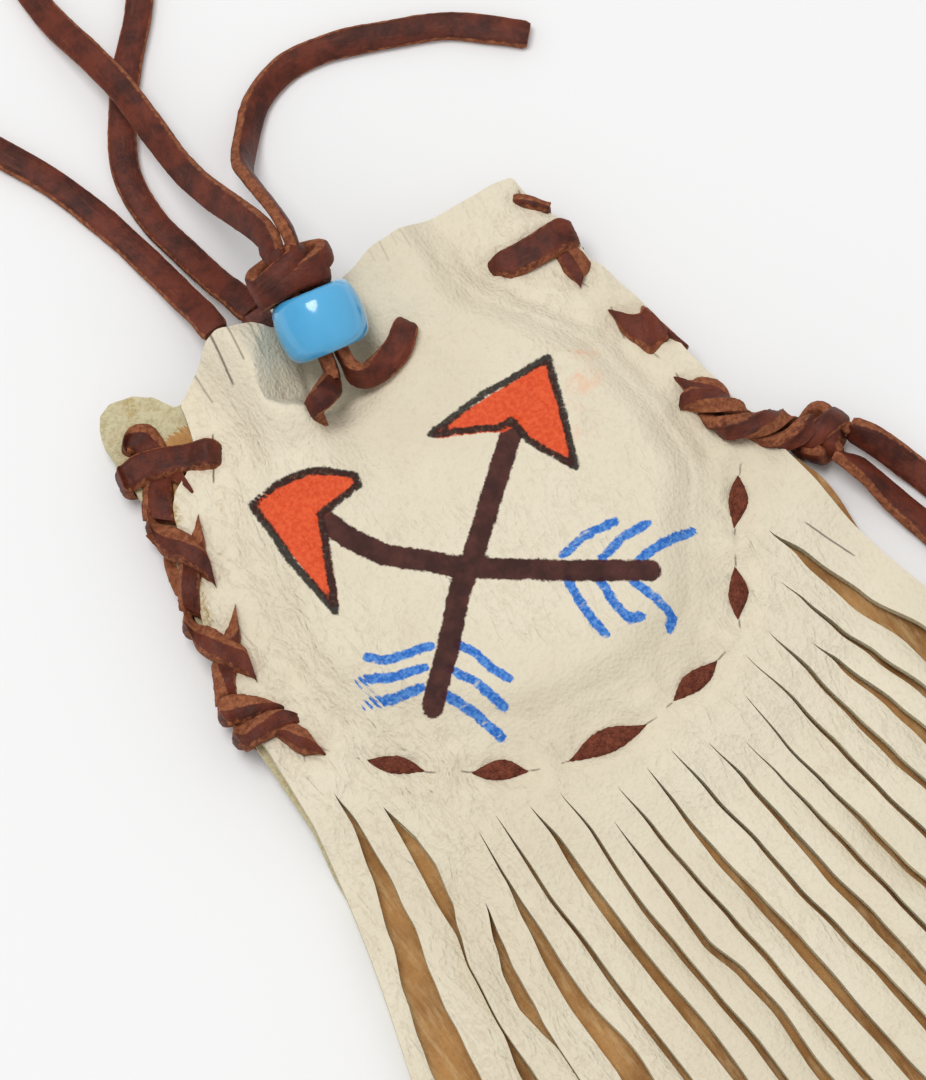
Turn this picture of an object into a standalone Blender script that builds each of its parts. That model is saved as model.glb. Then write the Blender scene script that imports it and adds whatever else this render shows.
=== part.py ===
# Beaded medicine bag: two fringed buckskin panels laced together into a flat pouch.
# It lies on its back: +X is its right, +Y points to the mouth, +Z is up.
import math

import bmesh
import bpy
from mathutils import Matrix, Vector
from mathutils.bvhtree import BVHTree

# Leather and lace, in metres
LEATHER = 0.0012
LACE_WIDTH = 0.0030
LACE_THICK = 0.0014
GAP = 0.0003
SEAT_GAP = 0.0004
HOLE_EASE = 0.0004
BEND = 0.0010

# Outline of both panels, from the mouth down to the cut ends of the fringe
MOUTH_Y = 0.0545
MOUTH_HALF = 0.0262
FLARE_Y = 0.0080
FLARE_HALF = 0.0309
FLARE_SLOPE = 0.25
FRINGE_Y = -0.0574

# Holes punched through both panels, by hand and so uneven: share of the panel's half width, and height
LEFT_SHARES = ((-0.676, 0.0465), (-0.889, 0.0355), (-0.920, 0.0250), (-0.879, 0.0160))
STITCH_SHARES = (
    ((-0.745, 0.0105), (-0.595, 0.0062)),
    ((-0.466, 0.0036), (-0.308, 0.0004)),
    ((-0.193, -0.0009), (0.069, -0.0022)),
    ((0.168, -0.0019), (0.360, -0.0008)),
    ((0.495, 0.0014), (0.611, 0.0062)),
    ((0.697, 0.0095), (0.837, 0.0140)),
)
RIGHT_SHARES = ((0.886, 0.0178), (0.920, 0.0250), (0.907, 0.0353), (0.673, 0.0470), (0.924, 0.0515))

# Where the laces turn round the edges, each after its hole
LEFT_TURNS = (0.0208, 0.0306, 0.0412, 0.0468)
RIGHT_TURNS = (0.0502, 0.0448, 0.0300, 0.0212)
LACE_END = 0.0042

# Fringe: each slit's direction from the pouch's centre, its start beyond the seam, and its end as a share
POUCH_CENTRE = (0.0, 0.0200)
SLITS = (
    (200, 0.0030, -0.846), (209, 0.0030, -0.668), (228, 0.0035, -0.449), (233, 0.0028, -0.334),
    (241, 0.0028, -0.234), (248, 0.0026, -0.142), (257, 0.0062, -0.058), (262, 0.0040, 0.025),
    (269, 0.0040, 0.109), (276, 0.0038, 0.192), (283, 0.0054, 0.271), (288, 0.0074, 0.351),
    (295, 0.0048, 0.434), (303, 0.0032, 0.522), (309, 0.0034, 0.614), (312, 0.0074, 0.714),
    (321, 0.0036, 0.810), (332, 0.0026, 0.910),
)
FRINGE_TOP = 0.0040
SLIT_OPEN = 0.0011
BODY_ROWS = 12
ROW_GROWTH = 1.35
STRIP_ROWS = 6

# Pouch, how it lies
LIFT = 0.0019
SAG = 0.0018
ROOM = 0.0053
SEAM_BAND = 0.0021
PUFF_RUN = 0.0062
DROP_RUN = 0.0090
TUBE_X = -0.0112
TUBE_HALF = 0.0065
TUBE_RISE = 0.0022
TUBE_START = 0.0300
TUBE_RUN = 0.0160
VALLEY_X = -0.0008
VALLEY_HALF = 0.0044
VALLEY_DEPTH = 0.0044
VALLEY_START = 0.0390
VALLEY_RUN = 0.0130

# Front panel's drawn-in upper left corner
DRAWN_IN = 0.0095
DRAWN_START = 0.0300
DRAWN_RUN = 0.0240

# Bead, on the two strands of the drawstring
BEAD_RADIUS = 0.0045
BEAD_LENGTH = 0.0065
BEAD_ROUND = 0.0013
BEAD_TRAVEL = 0.0020
BEAD_CLEAR = 0.0008
BEAD_X = -0.0020
BEAD_Y = 0.0490
BEAD_TURN = math.radians(10)
BEAD_TILT = math.radians(22)
STRING_HOLES = ((-0.0076, 0.0420), (0.0055, 0.0454))
STRING_ENTRY = (0.92, 0.38)

# Knots
CLOSING_KNOT = (0.0092, 0.0058, 0.0060)
KNOT_SEAT = 0.0004
SIDE_KNOT = (0.0064, 0.0050, 0.0050)
SIDE_KNOT_BEYOND = 0.0049
SIDE_KNOT_Y = 0.0136
SIDE_KNOT_WAY = (0.45, -0.89)

# Neck cord, a lace that passes through two holes in the back panel
NECK_HOLES = ((-0.0112, 0.0480), (-0.0070, 0.0480))
NECK_ENDS = ((-0.0099, 0.0562), (-0.0056, 0.0562))
NECK_RAISED = 0.0085
NECK_FALL = 0.0040
COIL_AT = (-0.0125, 0.1335)
COIL_MIDDLE = 0.0172
COIL_BAND = 0.0094
COIL_HEIGHT = 0.0032
CORD_STEP = 0.0075

# Routes of the free cords, points chosen by hand
RIGHT_TAIL_ROUTE = (
    (0.0012, 0.0660, 0.0100), (0.0022, 0.0698, 0.0055), (0.0048, 0.0734, 0.0022),
    (0.0085, 0.0770, 0.0016), (0.0133, 0.0787, 0.0016), (0.0186, 0.0780, 0.0016), (0.0247, 0.0756, 0.0016),
    (0.0298, 0.0732, 0.0016), (0.0341, 0.0696, 0.0016), (0.0364, 0.0674, 0.0016),
)
LEFT_TAIL_ROUTE = (
    (-0.0032, 0.0680, 0.0100), (-0.0032, 0.0735, 0.0066), (-0.0030, 0.0790, 0.0053),
    (-0.0030, 0.0850, 0.0052), (-0.0036, 0.0905, 0.0050), (-0.0042, 0.0960, 0.0034), (-0.0043, 0.1005, 0.0019),
    (-0.0040, 0.1045, 0.0016),
)
NECK_RIGHT_ROUTE = (
    (-0.0064, 0.0620, 0.0030), (-0.0070, 0.0665, 0.0017), (-0.0078, 0.0722, 0.0016),
    (-0.0072, 0.0780, 0.0016), (-0.0044, 0.0832, 0.0016), (-0.0005, 0.0882, 0.0016), (0.0046, 0.0937, 0.0016),
    (0.0090, 0.1010, 0.0016), (0.0108, 0.1090, 0.0016), (0.0098, 0.1165, 0.0016), (0.0082, 0.1212, 0.0016),
)
NECK_LEFT_ROUTE = (
    (-0.0101, 0.0620, 0.0030), (-0.0106, 0.0668, 0.0017), (-0.0119, 0.0740, 0.0016),
    (-0.0140, 0.0813, 0.0016), (-0.0167, 0.0874, 0.0016), (-0.0200, 0.0942, 0.0016), (-0.0222, 0.1020, 0.0016),
    (-0.0226, 0.1090, 0.0016), (-0.0218, 0.1130, 0.0016),
)
UPPER_SIDE_TAIL_ROUTE = (
    (0.0408, 0.0052, 0.0020), (0.0424, 0.0000, 0.0016), (0.0444, -0.0060, 0.0016),
    (0.0464, -0.0140, 0.0016), (0.0484, -0.0225, 0.0016), (0.0500, -0.0310, 0.0016),
)
LOWER_SIDE_TAIL_ROUTE = (
    (0.0374, 0.0034, 0.0020), (0.0388, -0.0020, 0.0016), (0.0404, -0.0080, 0.0016),
    (0.0422, -0.0160, 0.0016), (0.0440, -0.0250, 0.0016), (0.0452, -0.0340, 0.0016),
)


def smooth(t):
    t = max(0.0, min(1.0, t))
    return t * t * (3 - 2 * t)


def bump(t):
    return math.cos(t * math.pi / 2) ** 2 if abs(t) < 1 else 0.0


def flat(x, y):
    return Vector((x, y, 0.0)).normalized()


UP = Vector((0, 0, 1))


def half_width(y):
    """Half the width of a panel at one height."""
    down = max(0.0, min(1.0, (MOUTH_Y - y) / (MOUTH_Y - FLARE_Y)))
    return MOUTH_HALF + (FLARE_HALF - MOUTH_HALF) * down**1.4 + FLARE_SLOPE * max(0.0, FLARE_Y - y)


def spread(shares):
    return tuple((share * half_width(y), y) for share, y in shares)


LEFT_HOLES = spread(LEFT_SHARES)
RIGHT_HOLES = spread(RIGHT_SHARES)
STITCHES = tuple(spread(ends) for ends in STITCH_SHARES)
SIDE_KNOT_AT = (half_width(SIDE_KNOT_Y) + SIDE_KNOT_BEYOND, SIDE_KNOT_Y)

# The seam runs through the holes in a U, open at the mouth
SEAM = (
    [(LEFT_HOLES[0][0], MOUTH_Y + PUFF_RUN)]
    + list(LEFT_HOLES)
    + [end for stitch in STITCHES for end in stitch]
    + list(RIGHT_HOLES[:4])
    + [(RIGHT_HOLES[3][0], MOUTH_Y + PUFF_RUN)]
)


def inside_pouch(x, y):
    """How far a place lies inside the seam; below zero outside it."""
    inside, best = False, 1.0
    for (ax, ay), (bx, by) in zip(SEAM, SEAM[1:] + SEAM[:1]):
        if (ay > y) != (by > y) and x < (bx - ax) * (y - ay) / (by - ay) + ax:
            inside = not inside
    for (ax, ay), (bx, by) in zip(SEAM, SEAM[1:]):
        along = ((x - ax) * (bx - ax) + (y - ay) * (by - ay)) / ((bx - ax) ** 2 + (by - ay) ** 2)
        along = max(0.0, min(1.0, along))
        best = min(best, math.hypot(x - ax - along * (bx - ax), y - ay - along * (by - ay)))
    return best if inside else -best


def seam_reach(angle):
    """Distance from the pouch's centre to the seam in one direction."""
    cx, cy = POUCH_CENTRE
    low, high = 0.0, FLARE_HALF + FLARE_HALF
    for _ in range(30):
        middle = (low + high) / 2
        if inside_pouch(cx + middle * math.cos(angle), cy + middle * math.sin(angle)) > 0:
            low = middle
        else:
            high = middle
    return low


def bead_axis():
    """Direction from the bead to its knot."""
    flat = math.cos(BEAD_TILT)
    return Vector((math.sin(BEAD_TURN) * flat, math.cos(BEAD_TURN) * flat, math.sin(BEAD_TILT)))


def bead_side():
    """Level direction across the bead."""
    return Vector((math.cos(BEAD_TURN), -math.sin(BEAD_TURN), 0.0))


def bead_centre():
    """The bead clears both panels and the string between them, also at the end of its travel."""
    layers = LIFT - SAG + 2 * LEATHER + 3 * SEAT_GAP + LACE_THICK + BEAD_CLEAR
    drop = BEAD_TRAVEL * math.sin(BEAD_TILT)
    reach = BEAD_RADIUS * math.cos(BEAD_TILT) + BEAD_LENGTH / 2 * math.sin(BEAD_TILT)
    return Vector((BEAD_X, BEAD_Y, layers + drop + reach))


def under_bead(x, y):
    """Highest place the front panel may take under the bead, from one end of its travel to the other."""
    axis, side, centre = bead_axis(), bead_side(), bead_centre()
    offset = Vector((x - centre.x, y - centre.y, 0.0))
    flat_axis = Vector((axis.x, axis.y, 0.0)).normalized()
    along, across = offset.dot(flat_axis), abs(offset.dot(side))
    radius = BEAD_RADIUS + BEAD_CLEAR
    steep = radius * 0.75
    depth = math.sqrt(radius**2 - min(across, steep) ** 2)
    if across > steep:
        depth -= (across - steep) * steep / depth
    run = math.cos(BEAD_TILT)
    lower = -(BEAD_LENGTH / 2 + BEAD_TRAVEL) * run
    past = max(0.0, lower - along)
    return centre.z + max(along, lower) * math.tan(BEAD_TILT) - depth / run + 1.5 * past


def back_low(x, y):
    """Height of the back panel's underside."""
    deep = inside_pouch(x, y)
    hx = (NECK_HOLES[0][0] + NECK_HOLES[1][0]) / 2
    near_neck = smooth((NECK_RAISED - math.hypot(x - hx, y - NECK_HOLES[0][1])) / NECK_FALL)
    if deep > 0:
        return LIFT - SAG * smooth((deep - SEAM_BAND) / PUFF_RUN) * (1 - near_neck)
    lower = smooth((FLARE_Y + FRINGE_TOP - y) / DROP_RUN)
    return LIFT * (1 - lower * smooth((-deep - FRINGE_TOP) / DROP_RUN))


def front_low(x, y):
    """Height of the front panel's underside."""
    deep = inside_pouch(x, y) - SEAM_BAND
    closed = back_low(x, y) + LEATHER + SEAT_GAP
    if deep <= 0:
        return closed
    rise = ROOM * smooth(deep / PUFF_RUN)
    tube_rise = TUBE_RISE * bump((x - TUBE_X) / TUBE_HALF) * smooth((y - TUBE_START) / TUBE_RUN)
    rise += tube_rise * smooth(deep / PUFF_RUN)
    rise -= VALLEY_DEPTH * bump((x - VALLEY_X) / VALLEY_HALF) * smooth((y - VALLEY_START) / VALLEY_RUN)
    string_room = (LACE_THICK + 2 * SEAT_GAP) * smooth((MOUTH_Y - 2 * LEATHER - y) / (2 * BEND))
    string_room *= smooth(deep / LACE_WIDTH)
    return max(closed + string_room, min(closed + rise, under_bead(x, y) - LEATHER))


def material(name, colour, roughness, metallic=0.0):
    made = bpy.data.materials.new(name)
    made.use_nodes = True
    shader = made.node_tree.nodes["Principled BSDF"]
    shader.inputs["Base Color"].default_value = (*colour, 1.0)
    shader.inputs["Roughness"].default_value = roughness
    shader.inputs["Metallic"].default_value = metallic
    return made


def object_of(name, mesh_data, look):
    mesh_data.materials.append(look)
    made = bpy.data.objects.new(name, mesh_data)
    bpy.context.collection.objects.link(made)
    return made


def mesh_object(name, bm, look, shaded=True):
    bmesh.ops.recalc_face_normals(bm, faces=bm.faces)
    mesh_data = bpy.data.meshes.new(name)
    bm.to_mesh(mesh_data)
    bm.free()
    if shaded:
        mesh_data.shade_smooth()
        mesh_data.set_sharp_from_angle(angle=math.radians(40))
    return object_of(name, mesh_data, look)


def slit_start(index):
    angle, beyond, _ = SLITS[index]
    turn = math.radians(angle)
    reach = seam_reach(turn) + beyond
    return POUCH_CENTRE[0] + reach * math.cos(turn), POUCH_CENTRE[1] + reach * math.sin(turn)


def drawn_in(x, y):
    """The front panel's upper left corner is pulled towards the bead."""
    if x > VALLEY_X:
        return x
    share = min(1.0, (VALLEY_X - x) / (VALLEY_X + MOUTH_HALF))
    return x + DRAWN_IN * share**2.2 * smooth((y - DRAWN_START) / DRAWN_RUN)


def strip_ends():
    """Where each border between two strips starts and ends; the first and last are the panel's edges."""
    edge_y = FLARE_Y - FRINGE_TOP
    starts = [(-half_width(edge_y), edge_y)]
    starts += [slit_start(i) for i in range(len(SLITS))]
    starts += [(half_width(edge_y), edge_y)]
    ends = [share * half_width(FRINGE_Y) for share in (-1, *(slit[2] for slit in SLITS), 1)]
    return starts, ends


def panel(name, low, look, cells, corner):
    """One panel: a body of columns from the mouth to the slits, and a strip between each two slits."""
    starts, ends = strip_ends()
    count = len(starts) - 1
    bm = bmesh.new()

    def place(x, y):
        x = drawn_in(x, y) if corner else x
        return bm.verts.new((x, y, low(x, y)))

    def body_row(row, cells):
        down = (row / BODY_ROWS) ** ROW_GROWTH
        line = []
        for column in range(count * cells + 1):
            strip, part = divmod(column, cells)
            a, b = starts[strip], starts[min(strip + 1, count)]
            sx = a[0] + (b[0] - a[0]) * part / cells
            sy = a[1] + (b[1] - a[1]) * part / cells
            y = MOUTH_Y + (sy - MOUTH_Y) * down
            across = -1 + 2 * column / (count * cells)
            line.append(place(across * half_width(y) + (sx - across * half_width(sy)) * down**2, y))
        return line

    rows = [body_row(row, cells) for row in range(BODY_ROWS)]
    for upper, lower in zip(rows, rows[1:]):
        for i in range(count * cells):
            bm.faces.new((upper[i], upper[i + 1], lower[i + 1], lower[i]))
    roots = body_row(BODY_ROWS, 1)
    for strip in range(count):
        above = rows[-1][strip * cells : (strip + 1) * cells + 1]
        bm.faces.new((*above, roots[strip + 1], roots[strip]))
        last = roots[strip : strip + 2]
        for row in range(1, STRIP_ROWS + 1):
            down = row / STRIP_ROWS
            line = []
            for border, open_to in ((strip, 1), (strip + 1, -1)):
                sx, sy = starts[border]
                y = sy + (FRINGE_Y - sy) * down
                x = sx + (ends[border] - sx) * down + open_to * SLIT_OPEN / 2 * min(1.0, 2.5 * down)
                if border in (0, count):
                    x = math.copysign(half_width(y), sx)
                line.append(place(x, y))
            bm.faces.new((last[0], last[1], line[1], line[0]))
            last = line
    bmesh.ops.recalc_face_normals(bm, faces=bm.faces)
    bmesh.ops.triangulate(bm, faces=bm.faces)
    upper = bmesh.ops.extrude_face_region(bm, geom=bm.faces[:])
    for v in (g for g in upper["geom"] if isinstance(g, bmesh.types.BMVert)):
        v.co.z += LEATHER
    return mesh_object(name, bm, look)


def slots(name, places, low, high):
    """Slots for a lace; each place has the direction of the slot's long side."""
    bm = bmesh.new()
    size = (LACE_WIDTH + 2 * HOLE_EASE, LACE_THICK + 2 * HOLE_EASE, high - low)
    for at, along in places:
        turned = Matrix.Translation((at[0], at[1], (low + high) / 2))
        turned @= Matrix.Rotation(math.atan2(along.y, along.x), 4, "Z")
        bmesh.ops.create_cube(bm, size=1.0, matrix=turned @ Matrix.Diagonal((*size, 1.0)))
    made = mesh_object(name, bm, LACE, shaded=False)
    made.hide_render = True
    made.display_type = "WIRE"
    return made


def cut(target, tool):
    hole = target.modifiers.new(tool.name, "BOOLEAN")
    hole.operation = "DIFFERENCE"
    hole.solver = "EXACT"
    hole.object = tool


def sweep(name, path, look, width=LACE_WIDTH, thick=LACE_THICK):
    """A flat lace along its path; each place has a point and the way its broad face looks."""
    bm = bmesh.new()
    loops = []
    chamfer = thick / 4
    for i, (point, face) in enumerate(path):
        before, after = path[max(i - 1, 0)][0], path[min(i + 1, len(path) - 1)][0]
        along = (after - before).normalized()
        up = (face - along * face.dot(along)).normalized()
        out = along.cross(up)
        ring = []
        for a, b in (
            (width / 2, thick / 2 - chamfer), (width / 2 - chamfer, thick / 2),
            (chamfer - width / 2, thick / 2), (-width / 2, thick / 2 - chamfer),
            (-width / 2, chamfer - thick / 2), (chamfer - width / 2, -thick / 2),
            (width / 2 - chamfer, -thick / 2), (width / 2, chamfer - thick / 2),
        ):
            ring.append(bm.verts.new(point + out * a + up * b))
        loops.append(ring)
    for first, second in zip(loops, loops[1:]):
        for i in range(8):
            j = (i + 1) % 8
            bm.faces.new((first[i], first[j], second[j], second[i]))
    bm.faces.new(loops[0][::-1])
    bm.faces.new(loops[-1])
    return mesh_object(name, bm, look)


def surface(panels, x, y, direction):
    """Height of the outermost of the panels' surfaces in one direction, over the lace's width."""
    found = []
    reach = LACE_WIDTH / 2
    offsets = [(0, 0)] + [(reach * math.cos(i * math.pi / 4), reach * math.sin(i * math.pi / 4)) for i in range(8)]
    for dx, dy in offsets:
        for tree in panels:
            hit = tree.ray_cast(Vector((x + dx, y + dy, 0.1 * direction)), UP * -direction)[0]
            if hit is not None:
                found.append(hit.z)
    return max(found) if direction > 0 else min(found)


def over(x, y):
    """A lace's middle where it lies on the front panel."""
    return Vector((x, y, surface((FRONT, BACK), x, y, 1) + SEAT_GAP + LACE_THICK / 2))


def under(x, y):
    """A lace's middle where it lies below the back panel."""
    return Vector((x, y, surface((BACK,), x, y, -1) - SEAT_GAP - LACE_THICK / 2))


def under_front(x, y):
    """A lace's middle where it runs inside the pouch, below the front panel."""
    return Vector((x, y, surface((FRONT,), x, y, -1) - SEAT_GAP - LACE_THICK / 2))


def over_back(x, y):
    """A lace's middle where it lies inside the pouch, on the back panel."""
    return Vector((x, y, surface((BACK,), x, y, 1) + SEAT_GAP + LACE_THICK / 2))


def through(hole, low, high, come, leave, face_below, in_hole, face_above):
    """Up through a hole: from below, round its edge, and out on top."""
    x, y = hole
    first = Vector((x, y, 0)) - come * BEND
    last = Vector((x, y, 0)) + leave * BEND
    return [
        (Vector((first.x, first.y, low)), face_below),
        (Vector((x, y, low + 0.3 * BEND)) - come * 0.3 * BEND, (face_below + in_hole).normalized()),
        (Vector((x, y, low + BEND)), in_hole),
        (Vector((x, y, high - BEND)), in_hole),
        (Vector((x, y, high - 0.3 * BEND)) + leave * 0.3 * BEND, (in_hole + face_above).normalized()),
        (Vector((last.x, last.y, high)), face_above),
    ]


def up_through(hole, come, leave, in_hole, face_below):
    return through(hole, under(*hole).z, over(*hole).z, come, leave, face_below, in_hole, UP)


def round_edge(y, side):
    """Down round the panels' edge, from the front to the back."""
    edge = side * half_width(y)
    top, bottom = over(edge, y).z, under(edge, y).z
    middle, half = (top + bottom) / 2, (top - bottom) / 2
    places = []
    for angle in (90, 45, 0, -45, -90):
        turn = math.radians(angle)
        out = Vector((side * math.cos(turn), 0, math.sin(turn)))
        places.append((Vector((edge - side * GAP, y, middle)) + out * half, out))
    return places


def between(a, b, height, face, steps):
    """Places between two points of the plan, at the height of what the lace lies on."""
    places = []
    for i in range(1, steps + 1):
        share = i / (steps + 1)
        places.append((height(a[0] + (b[0] - a[0]) * share, a[1] + (b[1] - a[1]) * share), face))
    return places


def whip(path, hole, edge_y, side, come, face_below, in_hole):
    """One whip turn: up through the hole, over the front, and down round the edge."""
    edge = side * (half_width(edge_y) - GAP)
    leave = flat(edge - hole[0], edge_y - hole[1])
    path += up_through(hole, come, leave, in_hole, face_below)
    start = (hole[0] + leave.x * BEND, hole[1] + leave.y * BEND)
    length = math.hypot(edge - start[0], edge_y - start[1])
    if length > 0.002:
        path += between(start, (edge, edge_y), over, UP, max(1, round(length / 0.0025)))
    path += round_edge(edge_y, side)
    return edge, edge_y


def left_seam_lace():
    """Runs from the side knot as stitches round the bottom, then whips the left edge up to the mouth."""
    path = []
    hole = STITCHES[-1][1]
    last = (half_width(hole[1]) - BEND, SIDE_KNOT_AT[1] - SEAT_GAP)
    low = under(*last)
    path.append((Vector((SIDE_KNOT_AT[0] - SIDE_KNOT[0] / 2, last[1], low.z + SEAT_GAP)), UP))
    path.append((low, UP))
    for ends in reversed(STITCHES):
        first, second = ends[1], ends[0]
        come = flat(first[0] - last[0], first[1] - last[1])
        go = flat(second[0] - first[0], second[1] - first[1])
        path += between(last, first, under, UP, 1) if path[-1][0].z < LIFT else []
        path += up_through(first, come, go, -go, UP)
        path += between(first, second, over, UP, 1)
        down = up_through(second, -go, -go, go, UP)
        down = [(point, face) for point, face in reversed(down)]
        path += down
        last = second
    hole = LEFT_HOLES[-1]
    come = flat(hole[0] - last[0], hole[1] - last[1])
    path += between(last, hole, under, UP, 1)
    turns = list(zip(reversed(LEFT_HOLES), LEFT_TURNS))
    for i, (hole, edge_y) in enumerate(turns):
        edge = whip(path, hole, edge_y, -1, come, -UP if i else UP, flat(1, 0) if i else -come)
        following = turns[i + 1][0] if i + 1 < len(turns) else (edge[0] + 2 * LACE_WIDTH, edge_y)
        come = flat(following[0] - edge[0], following[1] - edge_y)
        path += between(edge, following, under, -UP, 1)
    return sweep("seam_lace_left", path, LACE)


def right_seam_lace():
    """Whips the right edge from the top corner down, and ends at the side knot."""
    path = []
    order = list(reversed(RIGHT_HOLES))
    come = flat(1, 0.2)
    start = (order[0][0] - LACE_END * come.x, order[0][1] - LACE_END * come.y)
    path.append((under(*start), UP))
    for hole, edge_y in zip(order, RIGHT_TURNS):
        edge = whip(path, hole, edge_y, 1, come, UP if hole == order[0] else -UP, flat(-1, 0))
        following = order[order.index(hole) + 1]
        come = flat(following[0] - edge[0], following[1] - edge_y)
        path += between(edge, following, under, -UP, 1)
    hole = order[-1]
    knot = (SIDE_KNOT_AT[0] - SIDE_KNOT[0] / 2 + GAP, SIDE_KNOT_AT[1] + LACE_WIDTH / 2)
    leave = flat(knot[0] - hole[0], knot[1] - hole[1])
    path += up_through(hole, come, leave, flat(-1, 0), -UP)
    path.append((over((hole[0] + knot[0]) / 2, (hole[1] + knot[1]) / 2), UP))
    path.append((Vector((*knot, path[-1][0].z + GAP)), UP))
    return sweep("seam_lace_right", path, LACE)


def drawstring():
    """One lace: from the bead down to the left hole, inside to the right hole, and back up to the bead."""
    axis, side, centre = bead_axis(), bead_side(), bead_centre()
    left, right = STRING_HOLES
    apart = GAP / 2 + LACE_THICK / 2
    top = BEAD_LENGTH / 2 - KNOT_SEAT
    low = BEAD_LENGTH / 2 + BEAD_TRAVEL + LACE_WIDTH / 2
    path = [(centre + axis * top - side * apart, side), (centre - axis * low - side * apart, side)]
    turn, lying = path[-1][0], over(*left)
    middle = Vector((turn.x - BEND, turn.y - BEND / 2, (turn.z + lying.z) / 2 + SEAT_GAP))
    path.append((middle, Vector((0.5, -0.4, 0.75))))
    come, go = flat(-1, 0), flat(right[0] - left[0], right[1] - left[1])
    down = through(left, under_front(*left).z, lying.z, -go, -come, -UP, come, UP)
    path += list(reversed(down))
    path += between((left[0] + BEND, left[1]), (right[0] - BEND, right[1]), under_front, -UP, 4)
    enter = flat(*STRING_ENTRY)
    path += through(right, under_front(*right).z, over(*right).z, go, -enter, -UP, enter, UP)
    turn, lying = centre - axis * low + side * apart, over(*right)
    middle = Vector((turn.x + 0.0026, turn.y - 0.0012, max(lying.z, over(turn.x + 0.0026, turn.y - 0.0012).z)))
    path.append((middle, Vector((0, -0.5, 0.85))))
    path += [(turn, -side), (centre + axis * top + side * apart, -side)]
    return sweep("drawstring", path, LACE)


def neck_end(index):
    """Where the neck loop ends in the mouth."""
    x, y = NECK_ENDS[index]
    return Vector((x, y, over_back(x, y - LACE_WIDTH).z + GAP))


def neck_loop():
    """The stretch of the neck lace through the back panel; it stands on edge in its holes and then lies down."""
    left, right = NECK_HOLES
    along = flat(left[0] - right[0], 0)

    def leg(index, in_hole):
        """From the hole up into the pouch and out at the mouth."""
        x, y = NECK_HOLES[index]
        end = neck_end(index)
        top = over_back(x, y).z - SEAT_GAP - LACE_THICK / 2
        turn = LACE_WIDTH * 0.65
        upright = Vector((x, y + turn, top + turn))
        lain = end - Vector((0, LACE_THICK, 0))
        middle = (upright + lain) / 2 - Vector((0, 0, GAP))
        return [
            (Vector((x, y, top)), in_hole),
            (Vector((x, y + 0.3 * turn, top + 0.7 * turn)), in_hole),
            (upright, in_hole),
            (middle, (in_hole + UP).normalized()),
            (lain, UP),
            (end, UP),
        ]

    def below(hole, come, in_hole):
        """From under the back panel up into the hole."""
        low = under(*hole)
        return [
            (low - come * BEND, -UP),
            (low - come * 0.3 * BEND + UP * 0.3 * BEND, (in_hole - UP).normalized()),
            (low + UP * BEND, in_hole),
        ]

    path = list(reversed(below(right, -along, -along) + leg(1, -along)))
    path += between(right, left, under, -UP, 1)
    path += below(left, along, along) + leg(0, along)
    return sweep("neck_loop", path, LACE)


def bead():
    """A barrel bead, turned from its profile."""
    bore = math.hypot(LACE_WIDTH / 2 - LACE_THICK / 4, LACE_THICK + GAP / 2) + GAP * 0.9
    half = BEAD_LENGTH / 2
    profile = [(bore, -half + 0.0004), (bore + 0.0004, -half)]
    for i in range(5):
        turn = math.pi / 2 * i / 4
        profile.append((BEAD_RADIUS - BEAD_ROUND * (1 - math.sin(turn)) - 0.0001, -half + BEAD_ROUND * (1 - math.cos(turn))))
    profile.append((BEAD_RADIUS, 0.0))
    profile += [(r, -z) for r, z in reversed(profile[:-1])]
    bm = bmesh.new()
    verts = [bm.verts.new((r, 0, z)) for r, z in profile]
    edges = [bm.edges.new(pair) for pair in zip(verts, verts[1:] + verts[:1])]
    bmesh.ops.spin(
        bm, geom=verts + edges, cent=(0, 0, 0), axis=(0, 0, 1), angle=math.tau, steps=24, use_merge=True
    )
    bmesh.ops.remove_doubles(bm, verts=bm.verts, dist=0.00001)
    made = mesh_object("bead", bm, BEAD)
    made.rotation_mode = "QUATERNION"
    made.rotation_quaternion = bead_axis().to_track_quat("Z", "Y")
    made.location = bead_centre()
    return made


def knot(name, size, centre, axis):
    """An overhand knot drawn tight: a bun with the furrows between its turns."""
    bm = bmesh.new()
    bmesh.ops.create_uvsphere(bm, u_segments=16, v_segments=9, radius=0.5)
    for v in bm.verts:
        around = math.atan2(v.co.y, v.co.z)
        furrow = 1 - 0.13 * bump((abs(v.co.x) - 0.22) / 0.16) - 0.06 * bump(math.sin(around + v.co.x * 5) / 0.5)
        v.co = Vector((v.co.x, v.co.y * furrow, v.co.z * furrow))
        v.co = Vector((v.co.x * size[0], v.co.y * size[1], v.co.z * size[2]))
    made = mesh_object(name, bm, LACE)
    made.rotation_mode = "QUATERNION"
    made.rotation_quaternion = axis.to_track_quat("Y", "Z")
    made.location = centre
    return made


def closing_knot_centre():
    return bead_centre() + bead_axis() * (BEAD_LENGTH / 2 + GAP - KNOT_SEAT + CLOSING_KNOT[1] / 2)


def side_knot_centre():
    return Vector((*SIDE_KNOT_AT, SIDE_KNOT[2] / 2 + GAP))


def closing_knot():
    return knot("closing_knot", CLOSING_KNOT, closing_knot_centre(), bead_axis())


def side_knot():
    return knot("side_knot", SIDE_KNOT, side_knot_centre(), flat(*SIDE_KNOT_WAY))


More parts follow.
